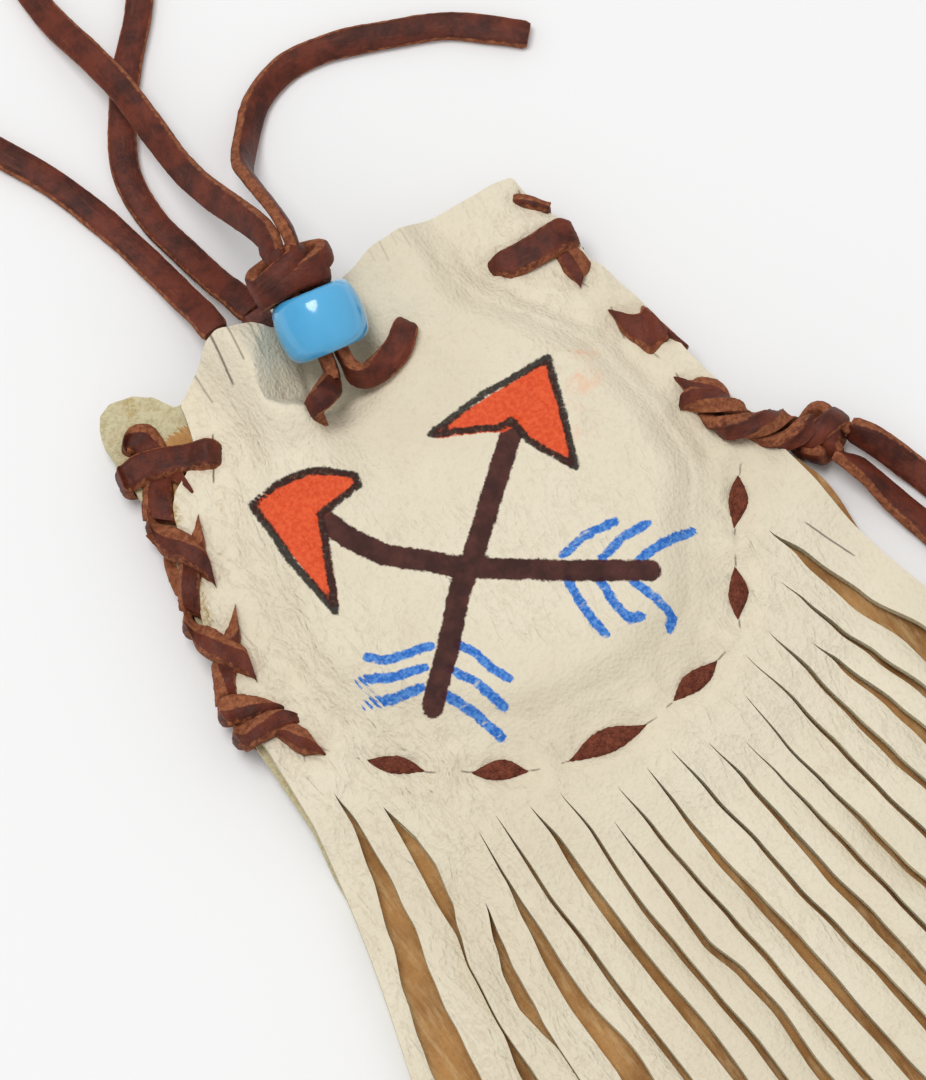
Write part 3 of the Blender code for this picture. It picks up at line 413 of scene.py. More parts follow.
# each slit of the fringe, from its root down as (y, x), and how wide it has opened as (y, width)
slits = ((((9.4, -27.5), (6.0, -27.4), (0.5, -28.1), (-5.5, -29.6), (-11.0, -31.3), (-15.5, -32.3),
           (-20.0, -33.2), (-57.4, -39.8)),
          ((-57.4, 3.4), (-19, 3.8), (-11, 3.6), (-6, 2.7), (-2.6, 2.0), (1.4, 1.4), (6, 0.6),
           (9.4, 0.05))),
         (((5.5, -24.2), (2.0, -23.9), (-2.0, -23.9), (-6.0, -24.4), (-8.4, -25.0), (-12.6, -26.2),
           (-19.1, -27.0), (-24.0, -27.5), (-57.4, -31.6)),
          ((-57.4, 2.2), (-24, 1.2), (-19.5, 0.2), (-12, 0.15), (-8.6, 0.4), (-6, 1.4), (-2, 1.8),
           (1.4, 1.3), (5.5, 0.05))),
         (((-7.8, -21.1), (-12.0, -22.3), (-15.2, -23.2), (-18.6, -23.7), (-21.3, -23.7), (-23.8, -23.5),
           (-57.4, -25.2)),
          ((-57.4, 0.1), (-24, 0.1), (-21.3, 0.7), (-18.6, 1.5), (-15.2, 1.3), (-12, 0.8), (-7.8, 0.05))),
         (((-1.8, -17.8), (-7.3, -18.1), (-11.6, -18.6), (-17.0, -19.1), (-21.7, -19.2), (-29, -18.9),
           (-57.4, -20.8)),
          ((-57.4, 2.4), (-27, 2.6), (-21.7, 2.0), (-17, 1.5), (-11.6, 1.0), (-7.3, 0.3), (-1.8, 0.05))),
         (((-1.4, -15.5), (-7.6, -15.5), (-11.3, -15.6), (-16.6, -15.4), (-20.4, -15.4), (-33.5, -14.9),
           (-57.4, -15.9)), ((-57.4, 0.9), (-30, 0.7), (-18, 0.5), (-8, 0.35), (-1.4, 0.05))),
         (((-2.6, -12.2), (-7.1, -11.7), (-11.7, -11.7), (-17.5, -11.7), (-36.1, -10.7), (-57.4, -11.2)),
          ((-57.4, 1.6), (-30, 1.3), (-18, 1.1), (-9, 0.8), (-2.6, 0.05))),
         (((-3.2, -9.0), (-8.0, -8.5), (-17.2, -8.6), (-22.5, -8.3), (-28.5, -7.9), (-34.3, -7.4),
           (-57.4, -6.8)), ((-57.4, 0.9), (-24, 0.6), (-10, 0.4), (-3.2, 0.05))),
         (((-8.4, -6.1), (-13.3, -5.8), (-18.9, -5.7), (-23.4, -5.6), (-27.9, -4.4), (-33.1, -3.8),
           (-38.8, -3.9), (-57.4, -2.8)), ((-57.4, 1.2), (-28, 0.9), (-16, 0.5), (-8.4, 0.05))),
         (((-5.9, -3.9), (-10.9, -3.2), (-17.5, -2.7), (-23.3, -2.2), (-28.6, -1.5), (-34.2, -1.2),
           (-39.7, -0.8), (-57.4, 1.2)), ((-57.4, 0.8), (-26, 0.5), (-12, 0.4), (-5.9, 0.05))),
         (((-5.9, -0.4), (-11.3, 0.0), (-16.9, 0.4), (-22.5, 1.1), (-28.8, 1.7), (-34.9, 2.3),
           (-43.4, 3.2), (-57.4, 5.2)), ((-57.4, 1.5), (-28, 1.2), (-18, 0.8), (-10, 0.4), (-5.9, 0.05))),
         (((-5.7, 2.6), (-11.6, 3.5), (-17.9, 4.5), (-24.2, 5.0), (-29.9, 5.9), (-35.9, 6.7),
           (-42.8, 7.4), (-57.4, 9.2)), ((-57.4, 0.9), (-26, 0.6), (-12, 0.4), (-5.7, 0.05))),
         (((-7.2, 6.1), (-12.1, 7.2), (-18.1, 7.7), (-24.4, 8.3), (-30.4, 9.2), (-37.2, 9.9),
           (-57.4, 13.0)), ((-57.4, 1.3), (-26, 1.1), (-14, 0.5), (-7.2, 0.05))),
         (((-9.0, 9.3), (-13.6, 10.3), (-18.5, 10.9), (-24.5, 11.6), (-30.0, 12.3), (-36.3, 13.1),
           (-57.4, 16.8)), ((-57.4, 0.8), (-28, 0.5), (-16, 0.3), (-9, 0.05))),
         (((-5.2, 11.9), (-11.3, 12.6), (-17.2, 13.5), (-23.0, 14.4), (-27.6, 15.0), (-32.2, 15.9),
           (-57.4, 20.8)), ((-57.4, 1.0), (-24, 0.5), (-12, 0.3), (-5.2, 0.05))),
         (((-2.0, 14.3), (-9.0, 16.0), (-14.9, 16.9), (-21.2, 17.6), (-27.8, 18.8), (-57.4, 25.0)),
          ((-57.4, 1.1), (-22, 0.6), (-10, 0.35), (-2, 0.05))),
         (((-1.4, 17.7), (-7.2, 19.0), (-13.1, 19.9), (-18.4, 20.7), (-23.6, 21.7), (-57.4, 29.4)),
          ((-57.4, 0.9), (-18, 0.7), (-7, 0.5), (-1.4, 0.05))),
         (((-4.5, 20.8), (-7.5, 22.0), (-14.3, 23.8), (-18.3, 24.7), (-57.4, 34.2)),
          ((-57.4, 1.4), (-18, 1.2), (-9, 0.7), (-4.5, 0.05))),
         (((2.3, 21.8), (-0.6, 22.7), (-4.9, 23.9), (-8.8, 25.4), (-14.7, 27.2), (-57.4, 38.8)),
          ((-57.4, 1.0), (-14, 0.8), (-4, 0.5), (2.3, 0.05))),
         (((7.3, 23.9), (3.2, 25.4), (-3.1, 27.5), (-9.9, 30.0), (-57.4, 43.6)),
          ((-57.4, 2.6), (-10, 2.5), (-3, 2.0), (2, 1.3), (7.3, 0.05))))
leftEdge = ((-57.4, -47.2), (8, -30.9), (18, -30.8), (24, -30.2), (31, -28.9), (37, -27.3), (40, -26.6),
            (44, -26.0), (54.5, -25.9))
rightEdge = ((-57.4, 47.2), (8, 31.2), (14, 30.4), (18, 29.8), (23.5, 29.0), (28.2, 28.4), (33.5, 28.0),
             (39.7, 27.0), (43.4, 26.2), (48.3, 26.2), (51.9, 25.0), (54.5, 24.6))
# the front lies inside the back there, and its upper corner is pulled in towards the bead
frontLeft = ((-57.4, -47.2), (8, -30.7), (14.1, -30.4), (18, -30.2), (24, -29.8), (27, -29.4),
             (31.3, -28.4), (34.2, -27.6), (35.8, -27.0), (38, -26.4), (41.8, -25.2), (43.9, -24.6),
             (45.3, -24.1), (46.6, -23.2), (48.6, -20.6), (50.6, -18.6), (54.5, -17.4))
frontTop = ((-18.4, 50.4), (-16.9, 52.3), (-14.5, 53.6), (-12.1, 54.9), (-11.0, 54.8), (-9.6, 53.9),
            (-7.7, 53.5), (-5.9, 52.2), (-3.0, 51.9), (0.0, 52.2), (4.2, 53.2), (7.6, 54.2), (12.5, 54.5),
            (17.4, 54.3), (22.7, 54.1), (24.2, 53.7), (25.0, 52.8), (26.2, 51.8))
backTop = ((-26.0, 52.8), (-25.4, 54.9), (-24.4, 56.2), (-23.0, 56.7), (-20.8, 56.2), (-19.1, 55.0),
           (-17.6, 52.6), (-14.0, 52.4), (-4.0, 52.6), (4.0, 53.0), (12.5, 54.2), (22.7, 53.8),
           (25.0, 52.6), (26.2, 51.6))


def insideShape(x, y, shape):
    inside = False
    for (ax, ay), (bx, by) in zip(shape, shape[1:] + shape[:1]):
        if (ay > y) != (by > y) and x < (bx - ax) * (y - ay) / (by - ay) + ax:
            inside = not inside
    return inside


# how far a place lies inside the seam, less than nothing outside it
def insidePouch(x, y):
    best = lineDistance(x, y, seamLine)
    return best if insideShape(x, y, seamLine) else -best


# highest place the front may take under the bead and its travel
def underBead(x, y):
    offset = Vector((x - bead["centre"].x, y - bead["centre"].y, 0))
    run = math.cos(bead["tilt"])
    forward = offset.dot(Vector((beadWay.x, beadWay.y, 0)).normalized())
    across = abs(offset.dot(beadAcross))
    radius = bead["radius"] + 0.3 + bead["clear"]
    steep = radius * 0.75
    depth = math.sqrt(radius ** 2 - min(across, steep) ** 2)
    if across > steep:
        depth -= (across - steep) * steep / depth
    lower = -(bead["length"] / 2 + bead["travel"]) * run
    shadow = bead["centre"].z + max(forward, lower) * math.tan(bead["tilt"]) - depth / run
    return shadow + 1.5 * max(0, lower - forward)


def backLow(x, y, deep):
    if deep > 0:
        near = smooth((8.5 - math.hypot(x + 9.1, y - 48.0)) / 4.0)
        inward = smooth((deep - pouch["seamBand"]) / pouch["puffRun"])
        return pouch["lift"] - pouch["sag"] * inward * (1 - near)
    lower = smooth((12.0 - y) / 9.0)
    return pouch["lift"] * (1 - lower * smooth((-deep - 4.0) / 9.0))


def frontLow(x, y, deep):
    closed = backLow(x, y, deep) + pouch["leather"] + pouch["layerGap"]
    deep -= pouch["seamBand"]
    if deep <= 0:
        return closed
    rise = pouch["room"] * smooth(deep / pouch["puffRun"])
    tube = pouch["tubeRise"] * bump((x - pouch["tubeX"]) / pouch["tubeHalf"])
    rise += tube * smooth((y - pouch["tubeFrom"]) / pouch["tubeRun"]) * smooth(deep / pouch["puffRun"])
    valley = pouch["valleyDepth"] * bump((x - pouch["valleyX"]) / pouch["valleyHalf"])
    rise -= valley * smooth((y - pouch["valleyFrom"]) / pouch["valleyRun"])
    stringRoom = 2.2 * smooth((52.1 - y) / 2.0) * smooth(deep / 3)
    return max(closed + stringRoom, min(closed + rise, underBead(x, y) - pouch["leather"]))


# over the front: where each turn of the seam laces presses, (from hole, to edge)
leftWhips = (((-18.2, 45.6), (-26.2, 48.6)), ((-24.6, 35.4), (-26.8, 43.0)), ((-26.9, 25.0), (-29.4, 32.6)),
             ((-27.4, 20.6), (-31.8, 22.4)), ((-26.9, 18.8), (-31.8, 18.8)), ((-28.3, 17.2), (-26.2, 14.0)))
rightWhips = (((24.1, 51.0), (26.0, 49.0)), ((18.0, 46.2), (26.6, 44.8)), ((23.6, 40.6), (26.0, 42.4)),
              ((24.5, 34.8), (28.2, 31.0)), ((26.0, 24.4), (27.4, 19.0)))
overFront = list(pouch["stitches"]) + list(leftWhips) + list(rightWhips)


# how the laces press the leather down and pucker it beside them
def pressed(x, y):
    z = 0.0
    for i, (a, b) in enumerate(overFront):
        d = segmentDistance(x, y, a, b)
        if d > 8:
            continue
        ridge = 0.34 if i < 6 else 0.16
        z += -0.50 * math.exp(-((d / 1.25) ** 2)) + ridge * math.exp(-(((d - 2.5) / 1.1) ** 2))
        for end in (a, b):
            ex, ey = x - end[0], y - end[1]
            r = math.hypot(ex, ey)
            if r < 8:
                angle = math.atan2(ey, ex)
                fold = math.sin(angle * 7 + 2.1 * i + 1.5 * end[0])
                z += 0.10 * fold * bump((r - 2.8) / 4.4)
    return z


# soft folds that run from the drawstring and the corners: (from, to, height, half width)
gathers = (((5.5, 45.4), (12.5, 32.0), -0.30, 1.9), ((6.5, 47.2), (17.0, 44.5), 0.30, 1.9),
           ((5.0, 43.5), (4.0, 30.0), 0.30, 2.2), ((9.6, 54.2), (9.6, 49.6), -0.34, 0.9),
           ((12.8, 53.6), (13.4, 49.6), -0.16, 0.9), ((-8.6, 41.0), (-9.6, 28.0), 0.45, 2.4),
           ((-5.2, 42.0), (-2.4, 33.0), -0.34, 2.0), ((-13.0, 52.0), (-14.8, 36.0), -0.24, 1.6),
           ((-16.6, 45.5), (-12.0, 43.0), -0.36, 1.4), ((-18.6, 42.6), (-12.5, 37.0), 0.30, 1.6),
           ((-22.8, 33.6), (-16.0, 29.0), 0.24, 1.5), ((-25.0, 24.0), (-17.5, 20.0), 0.24, 1.6),
           ((-23.6, 37.4), (-20.4, 41.6), 0.26, 1.3), ((-22.0, 36.0), (-19.0, 32.0), -0.22, 1.2),
           ((-24.4, 28.0), (-18.6, 25.6), -0.20, 1.2), ((16.5, 46.0), (9.0, 40.5), -0.24, 1.7),
           ((23.0, 35.0), (14.0, 33.5), -0.22, 1.6), ((24.8, 25.0), (16.0, 22.6), 0.22, 1.8),
           ((-24.0, 14.0), (-19.0, 17.0), -0.20, 1.4), ((-16.6, 8.0), (-12.0, 12.0), 0.22, 1.6),
           ((22.0, 41.0), (14.0, 38.0), 0.22, 1.8))
# the rolled fold's steep side, which hides where the left strand goes in
foldLine = ((40.0, -7.9), (42.0, -7.6), (44.0, -7.2), (46.0, -6.3), (49.0, -5.2))


# hand-made unevenness of the whole front
def relief(x, y):
    z = 0.20 * wobble(x, y, 12, 3.1) + 0.11 * wobble(x, y, 5.0, 7.7) + 0.06 * wobble(x, y, 2.3, 1.3)
    for a, b, height, half in gathers:
        d = segmentDistance(x, y, a, b)
        if d < half * 1.6:
            z += height * bump(d / (half * 1.6))
    if -10 < x < 6 and 38 < y < 50:
        fold = along(foldLine, y)
        start = 38.5
        fading = smooth((50 - y) / 3)
        hollow = 1.7 * smooth((x - fold) / 1.0 + 0.2) * (1 - smooth((x - fold - 3.0) / 6.0))
        z -= hollow * smooth((y - start) / 3.5) * fading
        z += 0.5 * bump((x - fold + 1.0) / 1.6) * smooth((y - start) / 3.0) * fading
    return z


panelSpec = {"cell": 0.60, "bodyRows": 128, "stripRows": 92, "crown": 0.22, "seed": 11, "edgeRoot": 4.0}


# the front's left edge and upper corner are pulled in
def drawnIn(x, y):
    if x > pouch["valleyX"]:
        return x
    edge = along(leftEdge, y)
    share = min(1.0, (pouch["valleyX"] - x) / (pouch["valleyX"] - edge))
    return x + (along(frontLeft, y) - edge) * share ** 2.2


# rows of plan points: the body from the mouth to the slits, then each strip on its own
def panelGrid(front):
    spec = panelSpec
    borders = [None] + list(slits) + [None]
    count = len(borders) - 1
    top = frontTop if front else backTop

    def borderX(i, y):
        if i == 0:
            return along(leftEdge, y) + (0 if front else 0.8 * smooth((4 - y) / 8))
        if i == count:
            return along(rightEdge, y) + (0 if front else 1.2 * bump((y - 8) / 9))
        x = along(borders[i][0][::-1], y)
        # the back's own slits lie under the front's strips, save the one that shows
        shown = (-3.1, -2.6, 1.9, -2.0)[i - 1] if i < 5 else (1.9 if i % 2 else -1.7)
        return x if front else x + shown * smooth((borders[i][0][0][0] + 1 - y) / 6)

    def opening(i, y):
        wide = along(borders[i][1], y)
        return wide if front else 0.12 * min(1.0, wide)

    def rootOf(i):
        if i in (0, count):
            return spec["edgeRoot"]
        return borders[i][0][0][0] - (0 if front else 2.5)

    cells = []
    for i in range(count):
        width = borderX(i + 1, -32) - borderX(i, -32)
        cells.append(max(4, round(width / spec["cell"])))
    columns = []
    for i in range(count):
        for j in range(cells[i]):
            columns.append((i, j / cells[i]))
    columns.append((count - 1, 1.0))
    starts = []
    for i, t in columns:
        ya, yb = rootOf(i), rootOf(i + 1)
        xa, xb = borderX(i, ya), borderX(i + 1, yb)
        starts.append((xa + (xb - xa) * t, ya + (yb - ya) * t))
    total = len(columns) - 1
    # share of the width at the roots keeps the columns even all the way up
    body = []
    rows = spec["bodyRows"]
    for r in range(rows + 1):
        down = r / rows
        line = []
        for c in range(len(columns)):
            sx, sy = starts[c]
            across = -1 + 2 * c / total
            flatTop = pouch["mouthY"]
            y = flatTop + (sy - flatTop) * down
            wide = borderX(count, y) if across > 0 else -along(leftEdge, y)
            wideS = borderX(count, sy) if across > 0 else -along(leftEdge, sy)
            x = across * wide + (sx - across * wideS) * down ** 2
            if front:
                x = drawnIn(x, y)
            y += (along(top, x) - flatTop) * (1 - down) ** 3
            line.append((x, y))
        body.append(line)
    strips = []
    for i in range(count):
        lines = []
        base = sum(cells[:i])
        for r in range(1, spec["stripRows"] + 1):
            down = r / spec["stripRows"]
            line = []
            for j in range(cells[i] + 1):
                t = j / cells[i]
                sx, sy = starts[base + j]
                y = sy + (pouch["fringeY"] - sy) * down
                a, b = borderX(i, y), borderX(i + 1, y)
                if i > 0:
                    a += opening(i, y) / 2 * (1 + 0.10 * math.sin(i * 3.3 + y * 0.4))
                if i < count - 1:
                    b -= opening(i + 1, y) / 2 * (1 + 0.10 * math.sin(i * 2.1 + 2 + y * 0.37))
                x = a + (b - a) * t
                line.append((drawnIn(x, y) if front else x, y))
            lines.append(line)
        strips.append(lines)
    return cells, body, strips


# two skins and a cut edge all round, as one closed mesh
def makePanel(name, front):
    cells, body, strips = panelGrid(front)
    rng = random.Random(panelSpec["seed"] + (0 if front else 5))
    count = len(cells)
    rolls = [rng.uniform(0.15, 1) for _ in range(count)]
    rises = [rng.uniform(0, 1) for _ in range(count)]
    curls = [rng.uniform(-1, 1) for _ in range(count)]
    plan, tops, bottoms = [], [], []

    def put(x, y, strip=None, t=0.5, down=0.0):
        deep = insidePouch(x, y)
        bottom = frontLow(x, y, deep) if front else backLow(x, y, deep)
        top = bottom + pouch["leather"]
        if front:
            extra = relief(x, y) + pressed(x, y)
        else:
            extra = 0.05 * wobble(x, y, 6, 9.2) if deep < 0 else 0.0
        if strip is not None:
            fade = smooth(down * 3)
            side = 2 * t - 1
            # each strip twists a little, its left edge up, and waves along its length
            twist = (0.38 * rolls[strip] + 0.24 * math.sin(y * 0.16 + strip * 1.9)) * -side
            wave = 0.22 * rises[strip] + 0.26 * curls[strip] * math.sin(y * 0.21 + strip * 2.3)
            wave += 0.10 * math.sin(y * 0.55 + strip)
            crown = -panelSpec["crown"] * side * side
            lift = max(0.0, twist + wave + 0.42) if front else max(0.0, 0.12 + 0.3 * twist)
            extra += fade * (lift + crown)
            bottom += fade * (lift if front else 0.0)
            if not front:
                extra -= fade * lift * 0.8
        plan.append((x, y))
        tops.append(top + extra)
        bottoms.append(min(bottom + min(0.0, extra * 0.6), top + extra - 0.55) if front else bottom)
        return len(plan) - 1

    rowIds = [[put(x, y) for x, y in line] for line in body]
    quads = []
    for a, b in zip(rowIds, rowIds[1:]):
        for i in range(len(a) - 1):
            quads.append((a[i], b[i], b[i + 1], a[i + 1]))
    base = 0
    stripRows = panelSpec["stripRows"]
    for s in range(count):
        last = rowIds[-1][base:base + cells[s] + 1]
        for r, line in enumerate(strips[s]):
            ids = [put(x, y, s, j / cells[s], (r + 1) / stripRows) for j, (x, y) in enumerate(line)]
            for i in range(cells[s]):
                quads.append((last[i], ids[i], ids[i + 1], last[i + 1]))
            last = ids
        base += cells[s]
    n = len(plan)
    points = [(x * mm, y * mm, z * mm) for (x, y), z in zip(plan, tops)]
    points += [(x * mm, y * mm, z * mm) for (x, y), z in zip(plan, bottoms)]
    faces = quads + [tuple(n + i for i in reversed(q)) for q in quads]
    kinds = [0] * len(quads) + [1] * len(quads)
    seen = {}
    for q in quads:
        for a, b in zip(q, q[1:] + q[:1]):
            seen[(a, b)] = seen.get((a, b), 0) + 1
    for a, b in list(seen):
        if (b, a) not in seen:
            faces.append((b, a, n + a, n + b))
            kinds.append(2)
    mesh = bpy.data.meshes.new(name)
    mesh.from_pydata(points, [], faces)
    mesh.validate()
    made = bpy.data.objects.new(name, mesh)
    bpy.context.collection.objects.link(made)
    mesh.materials.append(printedGrain if front else suede)
    mesh.materials.append(suede if front else plainGrain)
    mesh.materials.append(cutEdge)
    mesh.polygons.foreach_set("material_index", kinds[:len(mesh.polygons)])
    mesh.shade_smooth()
    mesh.set_sharp_from_angle(angle=math.radians(50))
    area = sum(mesh.polygons[i].area for i in range(len(quads)))
    print(name, "triangles", sum(len(p.vertices) - 2 for p in mesh.polygons), "area cm2",
          round(area * 1e4, 1))
    return made, plan, area


# what is drawn on the front: crossed arrows, in millimetres of the plan
arrows = {"orangeInk": [[(15.0, 33.6), (1.6, 33.6), (7.4, 30.4), (8.8, 30.3), (9.2, 27.6), (10.9, 23.6)],
                        [(-17.3, 38.2), (-14.9, 38.0), (-10.8, 36.7), (-8.0, 34.4), (-8.4, 33.6),
                         (-11.2, 33.4), (-13.0, 33.0), (-13.9, 31.0), (-16.9, 24.6)]],
          "blackInk": [[(15.5, 34.1), (8.0, 34.5), (1.1, 33.9), (7.2, 30.6), (8.6, 30.6), (8.8, 27.8),
                        (11.1, 22.9), (13.2, 28.0), (15.5, 34.1)],
                       [(-17.5, 38.6), (-14.9, 38.2), (-10.8, 36.9), (-7.7, 34.5), (-8.0, 33.4),
                        (-11.0, 33.1), (-12.8, 33.1), (-13.7, 31.1), (-17.2, 23.8), (-17.9, 30.5),
                        (-17.5, 38.6)]],
          "brownInk": [[(8.6, 30.0), (3.0, 25.6), (-2.8, 20.8), (-6.0, 18.6), (-10.2, 14.4),
                        (-14.6, 10.6)],
                       [(-12.8, 32.2), (-11.8, 29.2), (-10.0, 26.0), (-7.3, 23.5), (-4.1, 20.4),
                        (3.5, 14.8), (10.9, 9.7)]],
          "blueInk": [[(4.7, 15.9), (7.6, 16.4), (11.0, 15.9)], [(7.7, 13.4), (10.4, 14.1), (13.5, 13.9)],
                      [(10.7, 11.3), (14.6, 11.4), (17.3, 11.2)], [(3.6, 13.6), (3.2, 10.2), (3.4, 6.8)],
                      [(6.2, 11.5), (6.0, 8.6), (6.4, 6.6), (7.5, 6.3)],
                      [(8.9, 9.7), (10.0, 6.0), (10.2, 4.7), (9.4, 4.1)],
                      [(-17.3, 18.1), (-15.9, 16.8), (-11.5, 15.6)],
                      [(-19.2, 16.8), (-16.4, 15.0), (-13.3, 14.1)],
                      [(-20.0, 14.7), (-17.4, 13.4), (-14.7, 12.6)],
                      [(-9.2, 14.3), (-8.2, 12.5), (-7.9, 10.4), (-7.0, 8.4)],
                      [(-11.3, 12.5), (-9.9, 10.0), (-8.9, 6.6)],
                      [(-13.1, 10.7), (-11.5, 7.7), (-10.9, 5.7), (-10.6, 4.5)]]}
halfWidths = {"blackInk": 0.40, "brownInk": 1.12, "blueInk": 0.48}
smudges = ((17.0, 30.5), (18.5, 33.0), (14.0, 27.0))
# slits the laces go through, snips at the mouth and one short cut, drawn as dark lines of painted shadow,
# with how faint each is
cuts = (((-16.5, 47.3), (-19.1, 43.2), 0.0), ((-23.8, 38.4), (-24.9, 34.4), 0.1),
        ((-26.3, 27.9), (-27.0, 23.8), 0.1), ((-26.9, 20.2), (-26.7, 17.9), 0.1),
        ((-26.0, 14.4), (-25.3, 13.3), 0.2), ((-27.5, 14.5), (-27.8, 13.7), 0.2),
        ((24.4, 52.0), (24.2, 50.0), 0.1), ((17.7, 47.1), (17.7, 44.8), 0.1),
        ((23.8, 40.4), (24.2, 39.2), 0.2), ((24.8, 35.9), (24.0, 32.6), 0.1),
        ((25.4, 29.6), (25.6, 28.6), 0.2), ((26.0, 26.2), (25.8, 22.6), 0.1),
        ((-14.5, 53.6), (-14.6, 50.2), 0.22), ((-11.5, 54.8), (-12.4, 49.5), 0.05),
        ((-9.9, 54.2), (-10.5, 50.1), 0.18), ((-7.7, 53.6), (-8.5, 49.8), 0.30),
        ((27.6, 5.9), (29.9, 0.8), 0.05), ((7.2, 54.1), (7.0, 52.6), 0.36),
        ((8.6, 54.4), (8.2, 51.9), 0.32), ((10.1, 54.4), (9.9, 52.8), 0.37),
        ((11.2, 54.4), (11.0, 52.2), 0.34), ((12.9, 54.3), (12.6, 52.9), 0.38))
fuzzy = (((-23.0, 45.3), (-23.8, 43.9)), ((-23.8, 43.9), (-24.4, 41.8)), ((-26.0, 35.8), (-27.0, 33.4)),
         ((-27.0, 33.4), (-27.7, 31.3)), ((-21.6, 54.6), (-21.2, 55.8)))


# each stitch ends in a fine crack that runs on a little, darkened as painted shadow
def stitchCracks():
    made = []
    for a, b in pouch["stitches"]:
        way = Vector((b[0] - a[0], b[1] - a[1])).normalized()
        made.append((a, (a[0] - way.x * 0.8, a[1] - way.y * 0.8), 0.12))
        made.append((b, (b[0] + way.x * 0.9, b[1] + way.y * 0.9), 0.12))
    return made


# each ink's distance from its strokes' edges, in millimetres, less than nothing inside, and the other marks
def surfaceMarks(plan, front):
    names = list(arrows) + ["smudge", "cutSide", "cutNear", "fuzz"] if front else ["rim", "fuzz"]
    found = {name: [9.0] * len(plan) for name in names}
    lines = list(cuts) + stitchCracks()
    for i, (x, y) in enumerate(plan):
        if y > 27:
            found["fuzz"][i] = min(segmentDistance(x, y, a, b) for a, b in fuzzy)
        if not front:
            rim = x - along(leftEdge, y)
            found["rim"][i] = rim / 3.0 if y < 30 else (0.0 if y > 50 else rim / 2.0)
            continue
        a, b, faint = min(lines, key=lambda line: segmentDistance(x, y, line[0], line[1]))
        near = segmentDistance(x, y, a, b)
        if near < 3:
            length = math.hypot(b[0] - a[0], b[1] - a[1])
            found["cutSide"][i] = ((x - a[0]) * (b[1] - a[1]) - (y - a[1]) * (b[0] - a[0])) / length
            t = ((x - a[0]) * (b[0] - a[0]) + (y - a[1]) * (b[1] - a[1])) / length
            found["cutNear"][i] = max(0.0, -t, t - length) + 1.6 * max(0.0, near - 0.45) + faint
        if not (-24 < x < 22 and 0 < y < 42):
            continue
        for name, half in halfWidths.items():
            found[name][i] = min(lineDistance(x, y, line) for line in arrows[name]) - half
        filled = []
        for shape in arrows["orangeInk"]:
            sign = -1 if insideShape(x, y, shape) else 1
            filled.append(sign * lineDistance(x, y, shape + shape[:1]))
        found["orangeInk"][i] = min(filled) - 0.45
        found["smudge"][i] = min(math.hypot(x - a, y - b) for a, b in smudges) / 3.2
    return found


frontPiece, frontPlan, frontArea = makePanel("frontLeather", True)
backPiece, backPlan, backArea = makePanel("backLeather", False)
for piece, plan, node, front in ((frontPiece, frontPlan, "front_panel", True),
                                 (backPiece, backPlan, "back_panel", False)):
    for name, values in surfaceMarks(plan, front).items():
        layer = piece.data.attributes.new(name, "FLOAT", "POINT")
        layer.data.foreach_set("value", values + values)
    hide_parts(node)
    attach(piece, "pouch")
print("panels made")


def treeOf(piece):
    return BVHTree.FromPolygons([v.co for v in piece.data.vertices],
                                [tuple(p.vertices) for p in piece.data.polygons])


frontTree, backTree = treeOf(frontPiece), treeOf(backPiece)


# outermost height in millimetres of the leather on one side, over the lace's width
def height(trees, x, y, side, reach=1.2):
    best = None
    for dx, dy in ((0, 0), (reach, 0), (-reach, 0), (0, reach), (0, -reach)):
        for tree in trees:
            hit = tree.ray_cast(Vector(((x + dx) * mm, (y + dy) * mm, 0.1 * side)),
                                Vector((0, 0, -side)))[0]
            if hit is not None:
                z = hit.z / mm
                best = z if best is None else (max(best, z) if side > 0 else min(best, z))
    return best


lace = {"width": 3.0, "thick": 1.4, "ring": 18}


def over(x, y, sink=0.05):
    z = height((frontTree, backTree), x, y, 1)
    return Vector((x, y, (z if z is not None else 4.5) + lace["thick"] / 2 - sink))


def flat(x, y):
    return Vector((x, y, 0)).normalized()


